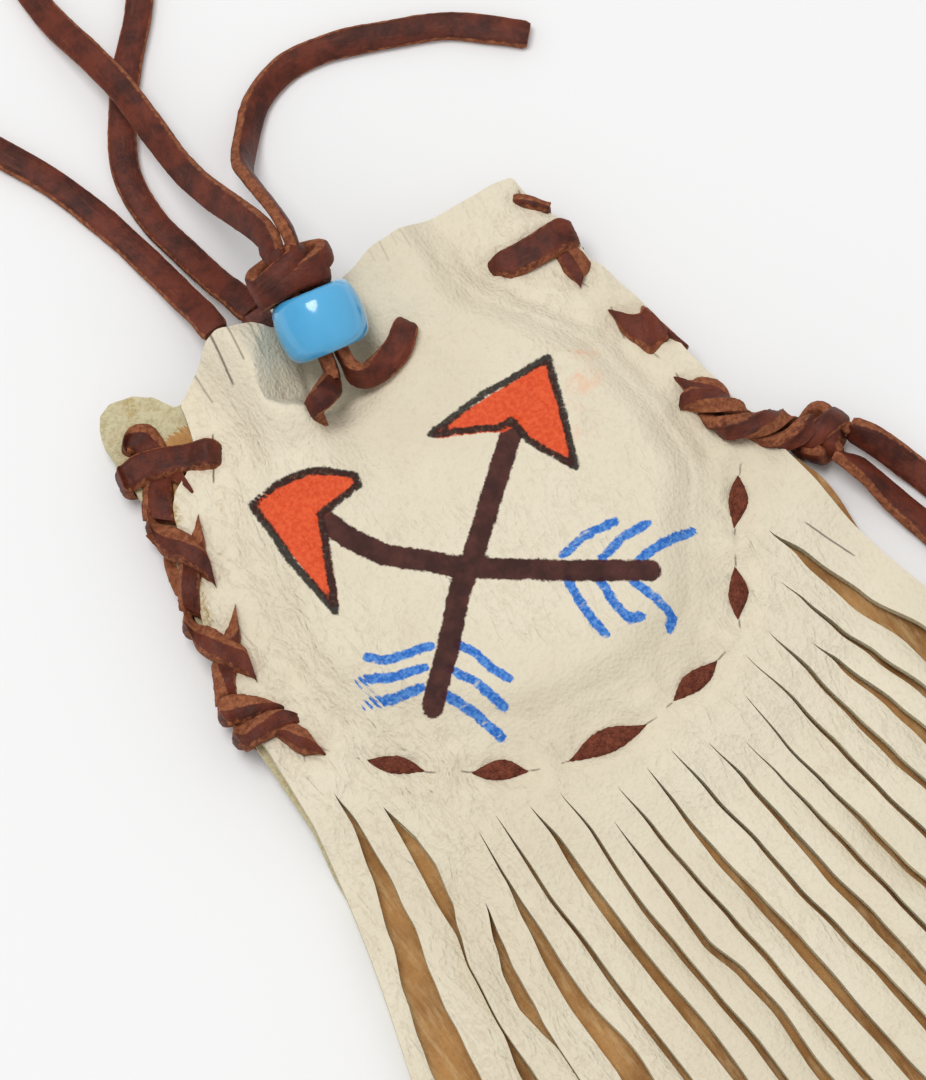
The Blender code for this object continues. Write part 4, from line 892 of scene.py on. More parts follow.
# laces
# a flat lace along stations of (point, face, width share), in millimetres, with suede cut edges
def sweepLace(name, stations, thick=lace["thick"], step=0.42, seed=0):
    points = [Vector(s[0]) for s in stations]
    lengths = [0.0]
    for p, q in zip(points, points[1:]):
        lengths.append(lengths[-1] + (q - p).length)
    line = throughPoints(points, step)
    shares, faces = [], []
    total = sum((q - p).length for p, q in zip(line, line[1:]))
    marks = [length / lengths[-1] * total for length in lengths]
    travelled = [0.0]
    for p, q in zip(line, line[1:]):
        travelled.append(travelled[-1] + (q - p).length)
    k = 0
    for s in travelled:
        while k < len(marks) - 2 and s > marks[k + 1]:
            k += 1
        t = smooth((s - marks[k]) / max(1e-6, marks[k + 1] - marks[k]))
        a, b = stations[k], stations[k + 1]
        faces.append((Vector(a[1]).lerp(Vector(b[1]), t)))
        wa = a[2] if len(a) > 2 else 1.0
        wb = b[2] if len(b) > 2 else 1.0
        shares.append(wa + (wb - wa) * t)
    ring = []
    count = lace["ring"]
    for i in range(count):
        angle = math.tau * i / count
        cx, cy = math.sin(angle), math.cos(angle)
        ex = math.copysign(abs(cx) ** 0.38, cx)
        ey = math.copysign(abs(cy) ** 0.55, cy)
        ring.append((ex, ey))
    verts, quads = [], []
    for i, p in enumerate(line):
        before, after = line[max(i - 1, 0)], line[min(i + 1, len(line) - 1)]
        tangent = (after - before).normalized()
        face = faces[i] - tangent * faces[i].dot(tangent)
        if face.length < 1e-4:
            face = tangent.orthogonal()
        face.normalize()
        side = tangent.cross(face)
        s = travelled[i]
        w = lace["width"] / 2 * shares[i] * (1 + 0.07 * perlin(Vector((s / 5, seed, 0.3))))
        h = thick / 2 * (1 + 0.10 * perlin(Vector((s / 3, seed + 5, 0.7))))
        closing = min(1.0, (s + 0.15) / 0.25) * min(1.0, (total - s + 0.15) / 0.25)
        closing = 0.35 + 0.65 * closing ** 0.5
        for j, (ex, ey) in enumerate(ring):
            ragged = 0.045 * perlin(Vector((s * 1.7, j * 0.9, seed + 2.0)))
            ragged += 0.03 * perlin(Vector((s * 5, j * 2.1, seed)))
            cup = -0.10 * thick * ex * ex
            out = face * ((ey * (h + ragged * 0.6)) * closing + cup)
            verts.append(p + side * (ex * (w + ragged) * closing) + out)
    for v in verts:  # nothing sinks below the table
        v.z = max(v.z, 0.0)
    rings = len(line)
    for i in range(rings - 1):
        for j in range(count):
            k2 = (j + 1) % count
            quads.append((i * count + j, i * count + k2, (i + 1) * count + k2, (i + 1) * count + j))
    quads.append(tuple(reversed(range(count))))
    quads.append(tuple((rings - 1) * count + j for j in range(count)))
    mesh = bpy.data.meshes.new(name)
    mesh.from_pydata([v * mm for v in verts], [], quads)
    made = bpy.data.objects.new(name, mesh)
    bpy.context.collection.objects.link(made)
    layer = mesh.uv_layers.new(name="alongLace")
    for poly in mesh.polygons:
        # the faces that close the ring run up to 1, not back to 0
        closes = len(poly.vertices) == 4 and any(v % count == count - 1 for v in poly.vertices)
        for loop in poly.loop_indices:
            i, j = divmod(mesh.loops[loop].vertex_index, count)
            u = 1.0 if j == 0 and closes else j / count
            layer.data[loop].uv = (u, travelled[i] / lace["width"])
    bm = bmesh.new()
    bm.from_mesh(mesh)
    bmesh.ops.recalc_face_normals(bm, faces=bm.faces)
    bm.to_mesh(mesh)
    bm.free()
    mesh.materials.append(laceFinish)
    mesh.shade_smooth()
    mesh.set_sharp_from_angle(angle=math.radians(60))
    return made, [p * mm for p in line], total * mm


def leatherTop(x, y, reach=0.5):
    z = height((frontTree, backTree), x, y, 1, reach)
    return z if z is not None else 4.4


def newRibbons():
    return {"verts": [], "faces": [], "uv": [], "nap": [], "redNap": []}


# one row of a ribbon lying on the leather: its two borders, and where the suede side ends
def lay(l, r, raised=0.0, ridge=0.0, thick=1.3, red=0.0):
    middle = leatherTop((l[0] + r[0]) / 2, (l[1] + r[1]) / 2, 0.8)
    zl, zr = (0.5 * middle + 0.5 * leatherTop(*p) - 0.25 + raised for p in (l, r))
    return [l[0], l[1], zl, r[0], r[1], zr, 0, 0, 1, ridge, thick, red]


def bent(l, r, z, normal, ridge=0.0, thick=1.3, red=0.0):
    return [l[0], l[1], z, r[0], r[1], z, *normal, ridge, thick, red]


# rows from the back, round the panels' edge, up to a ribbon's first row
def roundEdge(l, r, ridge=0.0, red=0.0, thick=1.3):
    way = Vector((r[0] - l[0], r[1] - l[1])).normalized()
    out = Vector((-way.y, way.x))
    if out.x * (l[0] + r[0]) < 0:
        out = -out

    def shifted(inward):
        return ((l[0] - out.x * inward, l[1] - out.y * inward),
                (r[0] - out.x * inward, r[1] - out.y * inward))

    o = Vector((out.x, out.y, 0))
    turns = ((3.4, 1.75, -up), (1.9, 1.8, -up), (1.3, 2.3, o * 0.8 - up * 0.6), (1.2, 3.2, o),
             (1.15, 4.1, o * 0.75 + up * 0.65), (0.75, 4.5, o * 0.35 + up))
    made = []
    for inward, z, normal in turns:
        a, b = shifted(inward)
        made.append(bent(a, b, z, normal.normalized(), ridge, thick, red))
    return made


# the last rows, where the lace bends down into its slit
def plunge(l, r, way, ridge=0.0, red=0.0, deep=1.7):
    z = leatherTop((l[0] + r[0]) / 2, (l[1] + r[1]) / 2, 0.8)
    way = Vector(way).normalized()
    tip = ((l[0] + way.x * 0.35, l[1] + way.y * 0.35), (r[0] + way.x * 0.35, r[1] + way.y * 0.35))
    return [bent(l, r, z - 0.55, (up + way * 0.9).normalized(), ridge, 1.15, red),
            bent(*tip, z - deep, way, ridge, 0.9, red)]


# one closed strip through its rows, with a ridge between its suede side and its grain side
def addRibbon(bag, rows, seed, step=0.33):
    line = throughPoints([Vector(row) for row in rows], step)
    across = (0.0, 0.03, 0.08, 0.16, 0.26, 0.36, 0.46, 0.56, 0.66, 0.76, 0.86, 0.93, 0.975, 1.0)
    under = (1.0, 0.5, 0.0)
    first = len(bag["verts"])
    count = len(across) + len(under)
    run, last = 0.0, None
    for i, row in enumerate(line):
        l, r, n = Vector(row[0:3]), Vector(row[3:6]), Vector(row[6:9])
        n = n.normalized() if n.length > 1e-5 else up
        ridge, thick, red = row[9], row[10], row[11]
        middle = (l + r) / 2
        if last is not None:
            run += (middle - last).length
        last = middle
        for j, t in enumerate(across):
            edge = min(1.0, (t / 0.10) ** 0.5 if t < 0.10 else 1.0,
                       ((1 - t) / 0.10) ** 0.5 if t > 0.90 else 1.0)
            if t < ridge:
                roof = 0.50 + 0.50 * t / ridge
            else:
                roof = 1.0 - 0.20 * ((t - ridge) / (1 - ridge)) ** 2
            rough = perlin(Vector((run * 2.6, t * 7 + seed, seed * 1.3)))
            fine = perlin(Vector((run * 6.3, t * 15, seed * 2.7)))
            h = thick * (0.18 + 0.82 * edge) * roof * (1 + 0.07 * rough) + (0.05 + 0.05 * red) * fine
            p = l.lerp(r, t) + n * h
            if t < 0.05 or t > 0.95:
                frayed = 0.10 if t < ridge or red > 0.5 else 0.05
                outwards = 1 if t < 0.5 else -1
                p += (l - r).normalized() * (frayed * (rough + 0.7 * fine)) * outwards
            bag["verts"].append(p)
            bag["uv"].append((0.165 * (2 * t - 1), run / lace["width"]))
            bag["nap"].append(max(0.0, min(1.0, 0.5 + (ridge - t) * 7)) if ridge > 0.01 else 0.0)
            bag["redNap"].append(red)
        for t in under:
            bag["verts"].append(l.lerp(r, t))
            bag["uv"].append((0.5, run / lace["width"]))
            bag["nap"].append(0.6)
            bag["redNap"].append(red)
    for i in range(len(line) - 1):
        a, b = first + i * count, first + (i + 1) * count
        for j in range(count):
            k = (j + 1) % count
            bag["faces"].append((a + j, a + k, b + k, b + j))
    bag["faces"].append(tuple(first + j for j in reversed(range(count))))
    end = first + (len(line) - 1) * count
    bag["faces"].append(tuple(end + j for j in range(count)))


# a stretch across the back, between a hole and the edge or the next hole
def backRun(bag, a, b, seed, half=1.45):
    way = Vector((b[0] - a[0], b[1] - a[1])).normalized()
    side = Vector((-way.y, way.x)) * half
    rows = []
    pieces = max(2, round(math.hypot(b[0] - a[0], b[1] - a[1]) / 2.0))
    for i in range(pieces + 1):
        t = i / pieces
        x, y = a[0] + (b[0] - a[0]) * t, a[1] + (b[1] - a[1]) * t
        z = height((backTree,), x, y, -1, 0.8)
        z = max(1.55, z if z is not None else 1.9) + (0.0 if 0 < i < pieces else 0.9)
        rows.append(bent((x + side.x, y + side.y), (x - side.x, y - side.y), z, (0, 0, -1), 0.0, 1.2))
    addRibbon(bag, rows, seed)


# a stitch of the rounded bottom: pointed at both ends, its suede side up, almost level with the leather
def lens(bag, a, b, width, seed):
    way = Vector((b[0] - a[0], b[1] - a[1]))
    length = way.length
    way.normalize()
    side = Vector((-way.y, way.x))
    rows = []
    for t in (0.0, 0.08, 0.2, 0.35, 0.5, 0.65, 0.8, 0.92, 1.0):
        half = width / 2 * math.sin(math.pi * min(0.98, max(0.02, t))) ** 1.15 + 0.04
        lean = 0.05 * width * math.sin(math.tau * t + seed)
        x, y = a[0] + way.x * length * t + side.x * lean, a[1] + way.y * length * t + side.y * lean
        l, r = (x + side.x * half, y + side.y * half), (x - side.x * half, y - side.y * half)
        rows.append(lay(l, r, -0.22 - 0.75 * (1 - math.sin(math.pi * t) ** 0.5), 0.0, 0.95, 1.0))
    addRibbon(bag, rows, seed, 0.28)


# a visible turn between its two borders, each a list of places, with what happens at its ends
def band(bag, left, right, seed, ridges=0.0, raised=0.0, start="edge", end="slit", thick=1.3, red=0.0,
         deep=1.7):
    ridges = ridges if isinstance(ridges, (list, tuple)) else [ridges] * len(left)
    raised = raised if isinstance(raised, (list, tuple)) else [raised] * len(left)
    rows = [lay(l, r, up_, ridge, thick, red) for l, r, up_, ridge in zip(left, right, raised, ridges)]

    def mid(i):
        return Vector(((left[i][0] + right[i][0]) / 2, (left[i][1] + right[i][1]) / 2, 0))

    if start == "edge":
        rows = roundEdge(left[0], right[0], ridges[0], red, thick=thick) + rows[1:]
    if start == "slit":
        rows = plunge(left[0], right[0], mid(0) - mid(1), ridges[0], red, deep)[::-1] + rows[1:]
    if end == "slit":
        rows = rows[:-1] + plunge(left[-1], right[-1], mid(-1) - mid(-2), ridges[-1], red, deep)
    if end == "edge":
        rows = rows[:-1] + roundEdge(left[-1], right[-1], ridges[-1], red, thick=thick)[::-1]
    addRibbon(bag, rows, seed)


def finishRibbons(bag, name, node):
    mesh = bpy.data.meshes.new(name)
    mesh.from_pydata([v * mm for v in bag["verts"]], [], bag["faces"])
    made = bpy.data.objects.new(name, mesh)
    bpy.context.collection.objects.link(made)
    layer = mesh.uv_layers.new(name="alongLace")
    for loop in mesh.loops:
        layer.data[loop.index].uv = bag["uv"][loop.vertex_index]
    for key in ("nap", "redNap"):
        marks = mesh.attributes.new(key, "FLOAT", "POINT")
        marks.data.foreach_set("value", bag[key])
    bm = bmesh.new()
    bm.from_mesh(mesh)
    bmesh.ops.recalc_face_normals(bm, faces=bm.faces)
    bm.to_mesh(mesh)
    bm.free()
    mesh.materials.append(laceFinish)
    mesh.shade_smooth()
    mesh.set_sharp_from_angle(angle=math.radians(65))
    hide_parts(node)
    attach(made, "pouch")
    return made


# cross-whipped left edge: broad turns over strands that run along the edge, then the bottom's stitches
def leftLace():
    bag = newRibbons()
    # strands under the turns, from the slits' tips to the edge
    band(bag, ((-23.2, 53.3), (-21.5, 52.9), (-20.7, 51.8), (-20.6, 50.2), (-20.8, 47.4), (-21.3, 44.6)),
         ((-25.1, 51.4), (-24.6, 51.2), (-24.1, 50.7), (-23.4, 49.1), (-22.6, 46.7), (-21.8, 44.4)), 11,
         (0.5, 0.45, 0.35, 0.3, 0.2, 0.2), (0.5, 0.7, 0.7, 0.2, -0.1, -0.3), "edge", "slit")
    band(bag, ((-23.9, 48.0), (-25.0, 47.4), (-26.3, 45.7), (-27.1, 44.2)),
         ((-21.6, 46.8), (-22.6, 45.4), (-23.6, 43.9), (-24.5, 41.8)),
         12, 0.22, (-0.3, 0.0, 0.0, -0.2), "none", "none")
    band(bag, ((-22.9, 40.5), (-24.0, 39.7), (-26.2, 38.8), (-26.9, 37.9), (-28.4, 35.7), (-29.3, 34.2)),
         ((-22.8, 40.2), (-23.5, 38.0), (-24.6, 36.8), (-25.2, 36.1), (-26.7, 34.2), (-27.9, 32.0)), 13,
         (0.9, 0.8, 0.25, 0.22, 0.2, 0.2), (-0.2, 0.0, -0.1, 0.0, 0.0, -0.2), "slit", "none")
    band(bag, ((-27.2, 40.3), (-27.7, 39.5), (-28.2, 38.0), (-28.6, 36.1)),
         ((-25.9, 38.8), (-26.5, 38.1), (-27.2, 37.0), (-28.0, 34.9)),
         14, 0.95, (-1.2, -1.2, -1.2, -1.2), "none", "none")
    band(bag, ((-25.1, 30.5), (-26.4, 29.6), (-28.3, 28.6), (-29.9, 27.3), (-31.0, 25.2), (-31.9, 23.7)),
         ((-25.0, 30.3), (-25.8, 28.2), (-27.0, 26.7), (-28.1, 25.4), (-29.0, 24.2), (-29.6, 22.7)), 15,
         (0.9, 0.8, 0.3, 0.25, 0.5, 0.6), (-0.2, 0.0, -0.1, 0.0, 0.0, -0.2), "slit", "none")
    # the broad turns over them
    band(bag,
         ((-26.7, 50.0), (-25.8, 50.3), (-24.2, 50.4), (-21.7, 49.8), (-19.2, 48.7), (-17.2, 47.5),
          (-16.7, 47.1)),
         ((-27.4, 47.4), (-26.4, 47.3), (-25.2, 47.1), (-22.9, 46.6), (-20.7, 45.7), (-18.9, 44.7),
          (-18.3, 44.3)), 16, (0.05, 0.10, 0.12, 0.12, 0.10, 0.08, 0.08),
         (0.2, 0.6, 0.9, 0.7, 0.2, 0.0, 0.0))
    band(bag,
         ((-26.8, 44.7), (-26.0, 43.3), (-25.1, 41.6), (-24.4, 40.1), (-23.8, 38.3), (-24.0, 36.5),
          (-24.9, 34.5)),
         ((-27.5, 42.7), (-27.6, 40.8), (-27.4, 39.0), (-26.5, 37.6), (-25.8, 35.9), (-25.4, 34.9),
          (-25.0, 34.3)), 17, (0.75, 0.55, 0.48, 0.42, 0.30, 0.12, 0.0),
         (0.1, 0.5, 0.8, 0.6, 0.3, 0.0, 0.0))
    band(bag,
         ((-29.3, 34.2), (-28.6, 32.1), (-27.9, 30.5), (-27.2, 28.9), (-26.5, 27.7), (-26.2, 26.7),
          (-26.5, 25.3), (-27.1, 23.9)),
         ((-30.4, 31.5), (-30.2, 29.7), (-30.0, 27.9), (-29.4, 26.8), (-28.7, 25.6), (-28.1, 24.8),
          (-27.6, 24.1), (-27.2, 23.7)), 18, (0.7, 0.5, 0.42, 0.38, 0.32, 0.22, 0.1, 0.0),
         (0.1, 0.5, 0.8, 0.7, 0.4, 0.1, 0.0, 0.0))
    band(bag, ((-32.1, 23.9), (-31.1, 23.9), (-29.9, 23.4), (-28.5, 22.3), (-27.5, 21.2), (-27.1, 20.4)),
         ((-32.4, 21.6), (-32.0, 20.9), (-30.9, 20.4), (-29.8, 20.0), (-28.4, 19.8), (-27.3, 19.6)), 19,
         (0.6, 0.58, 0.55, 0.5, 0.42, 0.3), (0.0, 0.4, 0.5, 0.3, 0.0, 0.0))
    band(bag, ((-32.2, 20.9), (-31.0, 20.5), (-29.6, 20.1), (-28.0, 20.0), (-26.9, 19.5), (-26.5, 18.7)),
         ((-32.5, 18.8), (-32.1, 17.7), (-30.7, 17.5), (-29.0, 17.4), (-27.7, 17.4), (-26.9, 17.5)), 20,
         (0.5, 0.5, 0.45, 0.35, 0.2, 0.1), (0.2, 0.6, 0.8, 0.6, 0.2, 0.0))
    band(bag, ((-28.7, 17.9), (-27.4, 17.9), (-26.5, 17.3), (-25.9, 16.2), (-25.8, 14.9), (-26.0, 13.9)),
         ((-28.8, 17.5), (-28.4, 16.2), (-28.1, 15.0), (-27.5, 14.2), (-26.9, 13.9), (-26.2, 13.7)), 21,
         (0.3, 0.45, 0.5, 0.45, 0.3, 0.1), (-0.4, 0.2, 0.3, 0.2, 0.0, -0.3), "none", "slit", 1.4, 0.35)
    for (a, b), width, seed in zip(pouch["stitches"], stitchWidths, range(22, 28)):
        lens(bag, a, b, 0.84 * width, seed)
    # across the back
    behind = (((-25.2, 48.4), (-17.8, 46.0)), ((-25.0, 43.4), (-22.0, 46.0)), ((-26.2, 43.2), (-24.6, 35.4)),
              ((-28.0, 32.6), (-26.8, 24.8)), ((-30.4, 22.4), (-26.4, 18.6)), ((-30.0, 19.2), (-26.2, 14.4)))
    for seed, (a, b) in enumerate(behind):
        backRun(bag, a, b, 40 + seed)
    ends = [(-26.2, 14.2)] + stitchEnds + [(30.6, 13.8)]
    for seed, (a, b) in enumerate(zip(ends[0::2], ends[1::2])):
        backRun(bag, a, b, 50 + seed, 1.3)
    return finishRibbons(bag, "seamLaceLeft", "seam_lace_left")


def rightLace():
    bag = newRibbons()
    band(bag, ((24.1, 51.9), (24.9, 51.2), (26.0, 49.6), (26.6, 48.4)),
         ((23.9, 50.1), (24.3, 49.5), (25.0, 48.9), (25.4, 47.9)), 61,
         0.6, (-0.2, 0.1, 0.0, 0.0), "slit", "edge", 1.1)
    band(bag, ((23.9, 40.3), (25.4, 40.7), (26.0, 41.6), (25.9, 43.2), (25.4, 44.8)),
         ((23.7, 40.0), (23.1, 41.4), (23.0, 42.6), (23.2, 43.9), (23.4, 45.2)),
         62, (0.0, 0.4, 0.5, 0.5, 0.5), (-0.3, 0.0, 0.0, -0.1, -0.3), "slit", "none", 1.2, 0.4)
    band(bag,
         ((26.9, 46.2), (25.6, 46.9), (24.2, 47.0), (21.9, 47.1), (19.8, 47.4), (18.6, 47.5),
          (18.0, 47.2)),
         ((26.4, 43.2), (25.0, 43.3), (22.9, 43.5), (19.9, 43.9), (18.2, 44.3), (17.7, 44.9),
          (17.5, 45.4)), 63, (0.05,) * 7, (0.3, 0.7, 0.8, 0.5, 0.1, 0.0, -0.1))
    band(bag, ((28.3, 31.6), (28.0, 33.4), (27.5, 34.4), (26.8, 33.9), (25.8, 34.4), (24.7, 35.2)),
         ((27.9, 29.6), (26.8, 29.7), (25.3, 29.4), (24.6, 30.6), (24.1, 32.8), (24.5, 35.0)), 64,
         (0.2, 0.2, 0.15, 0.1, 0.1, 0.0), (-0.2, 0.0, 0.1, 0.1, 0.0, -0.2))
    band(bag, ((27.6, 34.4), (28.3, 32.2), (28.6, 30.2), (29.0, 28.2)),
         ((26.6, 33.4), (27.4, 31.4), (27.9, 29.6), (28.6, 28.0)), 65,
         0.4, (-0.6, -0.5, -0.5, -0.7), "none", "none", 1.1)
    band(bag, ((25.9, 25.4), (26.8, 24.9), (27.9, 24.6), (29.2, 23.2), (29.7, 21.4)),
         ((25.7, 24.8), (25.6, 22.6), (26.0, 21.6), (27.0, 20.6), (28.0, 19.8)),
         66, (0.1, 0.2, 0.3, 0.35, 0.4), (-0.2, 0.1, 0.2, 0.1, 0.0), "slit", "edge", 1.3)
    # the two laces run together to the side knot, turned round each other
    rope = throughPoints(((26.0, 23.4, 4.6), (26.5, 21.4, 5.6), (27.0, 19.6, 6.0), (27.9, 17.9, 6.2),
                          (29.6, 16.3, 5.8), (31.4, 15.2, 4.8), (33.6, 14.2, 3.6)), 0.55)
    for phase, seed in ((0.4, 67), (0.4 + math.pi, 68)):
        rows = []
        for i, p in enumerate(rope):
            tangent = (rope[min(i + 1, len(rope) - 1)] - rope[max(i - 1, 0)]).normalized()
            side = tangent.cross(up).normalized()
            high = side.cross(tangent)
            angle = phase + i * 0.30
            out = side * math.cos(angle) + high * math.sin(angle)
            wide = tangent.cross(out)
            base = p + out * 0.25
            rows.append([*(base + wide * 1.35), *(base - wide * 1.35), *out, 0.16, 1.7, 0.0])
        addRibbon(bag, rows, seed)
    behind = (((25.4, 48.4), (18.4, 46.2)), ((25.4, 44.2), (23.8, 40.2)), ((24.6, 41.0), (24.6, 35.0)),
              ((27.0, 30.6), (26.0, 25.0)), ((27.4, 21.0), (26.2, 17.8)))
    for seed, (a, b) in enumerate(behind):
        backRun(bag, a, b, 70 + seed)
    return finishRibbons(bag, "seamLaceRight", "seam_lace_right")


leftLace()
rightLace()
print("seam laces made")


# drawstring, bead and closing knot: places along the bead's way, and how far apart the strands are
centre = bead["centre"]
strands = {"top": 2.8, "straight": 4.6, "low": 6.1, "apart": 0.85, "knot": 5.75, "knotAside": 0.8,
           "knotEnd": 7.5}


def makeDrawstring():
    left, right = pouch["stringHoles"]
    apart, top, straight, low = strands["apart"], strands["top"], strands["straight"], strands["low"]
    stations = [(centre + beadWay * top - beadAcross * apart, beadAcross, 0.9),
                (centre - beadWay * straight - beadAcross * apart, beadAcross, 0.88),
                (centre - beadWay * low - beadAcross * (apart + 0.3), beadAcross + up * 0.2, 0.9)]
    lying = over(*left)
    stations.append((Vector((left[0] + 1.5, left[1] + 0.2, lying.z - 0.1)), Vector((0.3, -0.3, 0.9)), 0.85))
    stations.append((Vector((left[0], left[1], lying.z - 1.4)), flat(-1, 0), 0.7))
    inner = [(left[0] + 1.2, left[1]), (-2.0, 44.2), (2.0, 44.8), (right[0] - 1.2, right[1])]
    for x, y in inner:
        z = height((frontTree,), x, y, -1, 1.0)
        stations.append((Vector((x, y, (z if z is not None else 3.2) - 0.9)), -up, 0.9))
    lying = over(*right)
    stations.append((Vector((right[0], right[1], lying.z - 1.4)), flat(1, 0.3), 0.7))
    stations.append((Vector((right[0] - 0.4, right[1] - 0.9, lying.z + 0.1)), Vector((0.2, 0.2, 1)), 0.9))
    turn = centre - beadWay * low + beadAcross * apart
    stations.append((over(right[0] - 2.6, right[1] - 2.4), Vector((0, -0.2, 1))))
    stations.append((Vector((turn.x + 1.2, turn.y - 0.9, turn.z - 0.4)), Vector((-0.5, -0.6, 0.7)), 0.95))
    stations.append((centre - beadWay * straight + beadAcross * apart, -beadAcross, 0.88))
    stations.append((centre + beadWay * top + beadAcross * apart, -beadAcross, 0.9))
    return sweepLace("drawstringLace", stations, seed=3)[0]


string = makeDrawstring()
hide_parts("drawstring")
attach(string, "pouch")



# a pony bead: a barrel with rounded rims and a wide bore
def makeBead():
    radius, half = bead["radius"] * mm, bead["length"] / 2 * mm
    bpy.ops.object.select_all(action="DESELECT")
    bpy.ops.mesh.primitive_cylinder_add(vertices=72, radius=radius, depth=bead["length"] * mm)
    made = bpy.context.object
    made.name = "ponyBead"
    bpy.ops.object.mode_set(mode="EDIT")
    bpy.ops.mesh.select_mode(type="FACE")
    bpy.ops.mesh.select_all(action="DESELECT")
    bm = bmesh.from_edit_mesh(made.data)
    for face in bm.faces:
        face.select_set(len(face.verts) > 8)
    bmesh.update_edit_mesh(made.data)
    bpy.ops.mesh.inset(thickness=(bead["radius"] - bead["bore"]) * mm)
    bpy.ops.mesh.bridge_edge_loops()
    bpy.ops.mesh.select_mode(type="EDGE")
    bpy.ops.mesh.select_all(action="DESELECT")
    bm = bmesh.from_edit_mesh(made.data)
    for edge in bm.edges:
        a, b = edge.verts
        atRim = abs(a.co.z - b.co.z) < 1e-6 and abs(abs(a.co.z) - half) < 1e-6
        edge.select_set(atRim and abs(a.co.xy.length - b.co.xy.length) < 1e-6)
    bmesh.update_edit_mesh(made.data)
    bpy.ops.mesh.bevel(offset=bead["round"] * mm, segments=7, profile=0.5, clamp_overlap=True)
    bpy.ops.mesh.select_all(action="DESELECT")
    bm = bmesh.from_edit_mesh(made.data)
    for edge in bm.edges:
        a, b = edge.verts
        edge.select_set(abs(a.co.z - b.co.z) > 1.0 * mm and a.co.xy.length > (bead["radius"] - 0.3) * mm)
    bmesh.update_edit_mesh(made.data)
    bpy.ops.mesh.subdivide(number_cuts=6)
    bpy.ops.mesh.select_all(action="SELECT")
    bpy.ops.mesh.normals_make_consistent(inside=False)
    bpy.ops.object.mode_set(mode="OBJECT")
    for v in made.data.vertices:  # moulded, so its sides swell a little
        share = (v.co.xy.length / mm - bead["bore"]) / (bead["radius"] - bead["bore"])
        if share > 0.3:
            swell = 1 + 0.02 - 0.13 * share * (2 * v.co.z / mm / bead["length"]) ** 2
            v.co.x *= swell
            v.co.y *= swell
    turned = beadWay.to_track_quat("Z", "Y").to_matrix().to_4x4()
    made.data.transform(Matrix.Translation(centre * mm) @ turned)
    made.matrix_world = Matrix.Identity(4)
    made.data.materials.clear()
    made.data.materials.append(beadFinish)
    made.data.shade_smooth()
    return made


beadPiece = makeBead()
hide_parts("bead")
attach(beadPiece, "bead")


# places given across, along and above a knot's middle
def knotFrame(middle, way, across):
    lifted = across.cross(way)
    return lambda a, b, c: middle + across * a + way * b + lifted * c


# a knot's two laces, each through its own route round the middle
def makeKnot(middle, way, across, laces, share=(1.0, 1.0, 1.0), thick=1.4):
    at = knotFrame(middle, way, across)
    made = []
    for name, points, seed in laces:
        stations = []
        for a, b, c in points:
            a, b, c = a * share[0], b * share[1], c * share[2]
            out = at(a, b * 0.25, c) - middle
            stations.append((at(a, b, c), out.normalized() if out.length > 0.3 else up, 0.8))
        made.append(sweepLace(name, stations, thick=thick, step=0.35, seed=seed)[0])
    return made


# an overhand knot in two strands: a turn round the pair, with the ends drawn through it
def makeClosingKnot():
    middle = centre + beadWay * strands["knot"] - beadAcross * strands["knotAside"]
    turn = ((-0.9, -3.0, 0.2), (-1.2, -1.8, 1.0), (0.6, -0.8, 2.3), (3.2, 0.0, 1.6), (3.7, 0.8, -0.6),
            (1.8, 1.3, -2.2), (-1.4, 1.2, -2.2), (-3.6, 0.5, -0.9), (-3.4, -0.5, 1.2), (-1.2, 0.4, 2.4),
            (0.9, 1.4, 2.0), (0.9, 2.7, 0.8))
    band = ((0.9, -3.0, 0.2), (1.6, -2.2, -0.6), (2.8, -1.6, 0.8), (2.2, -1.2, 2.2), (-0.8, -1.2, 2.6),
            (-3.4, -1.6, 1.2), (-3.3, -1.9, -0.9), (-1.0, -1.7, -2.2), (1.8, -1.0, -2.0), (1.6, 0.6, 0.2),
            (-0.8, 1.9, 1.6), (-0.9, 2.9, 0.6))
    laces = (("closingKnotTurn", turn, 4), ("closingKnotBand", band, 5))
    return makeKnot(middle, beadWay, beadAcross, laces, share=(1.04, 0.86, 0.72), thick=1.5)


for piece in makeClosingKnot():
    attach(piece, "pouch")
    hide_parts("closing_knot")


sideKnot = {"middle": Vector((35.0, 13.6, 2.8)), "way": flat(0.45, -0.89), "across": Vector((0.89, 0.45, 0)),
            "end": 2.6, "apart": 1.6}


def makeSideKnot():
    turn = ((-2.6, -1.0, 1.9), (-0.8, -0.4, 2.5), (1.4, 0.5, 2.0), (2.3, 1.0, 0.2), (0.8, 0.8, -1.7),
            (-1.5, -0.2, -1.7), (-2.5, -0.9, 0.0), (-1.4, -1.6, 1.8), (0.8, -1.6, 2.0), (2.2, -0.9, 0.7),
            (1.6, 1.2, 0.0), (1.4, 2.6, 0.3))
    band = ((-2.8, 0.4, -1.4), (-2.6, 0.9, 0.6), (-1.0, 1.3, 2.2), (0.6, 1.7, 1.2), (0.2, 1.2, -1.4),
            (-1.2, 1.2, -0.9), (-1.5, 2.6, 0.2))
    laces = (("sideKnotTurn", turn, 6), ("sideKnotBand", band, 7))
    return makeKnot(sideKnot["middle"], sideKnot["way"], sideKnot["across"], laces)


for piece in makeSideKnot():
    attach(piece, "pouch")
    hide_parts("side_knot")
print("string, bead and knots made")


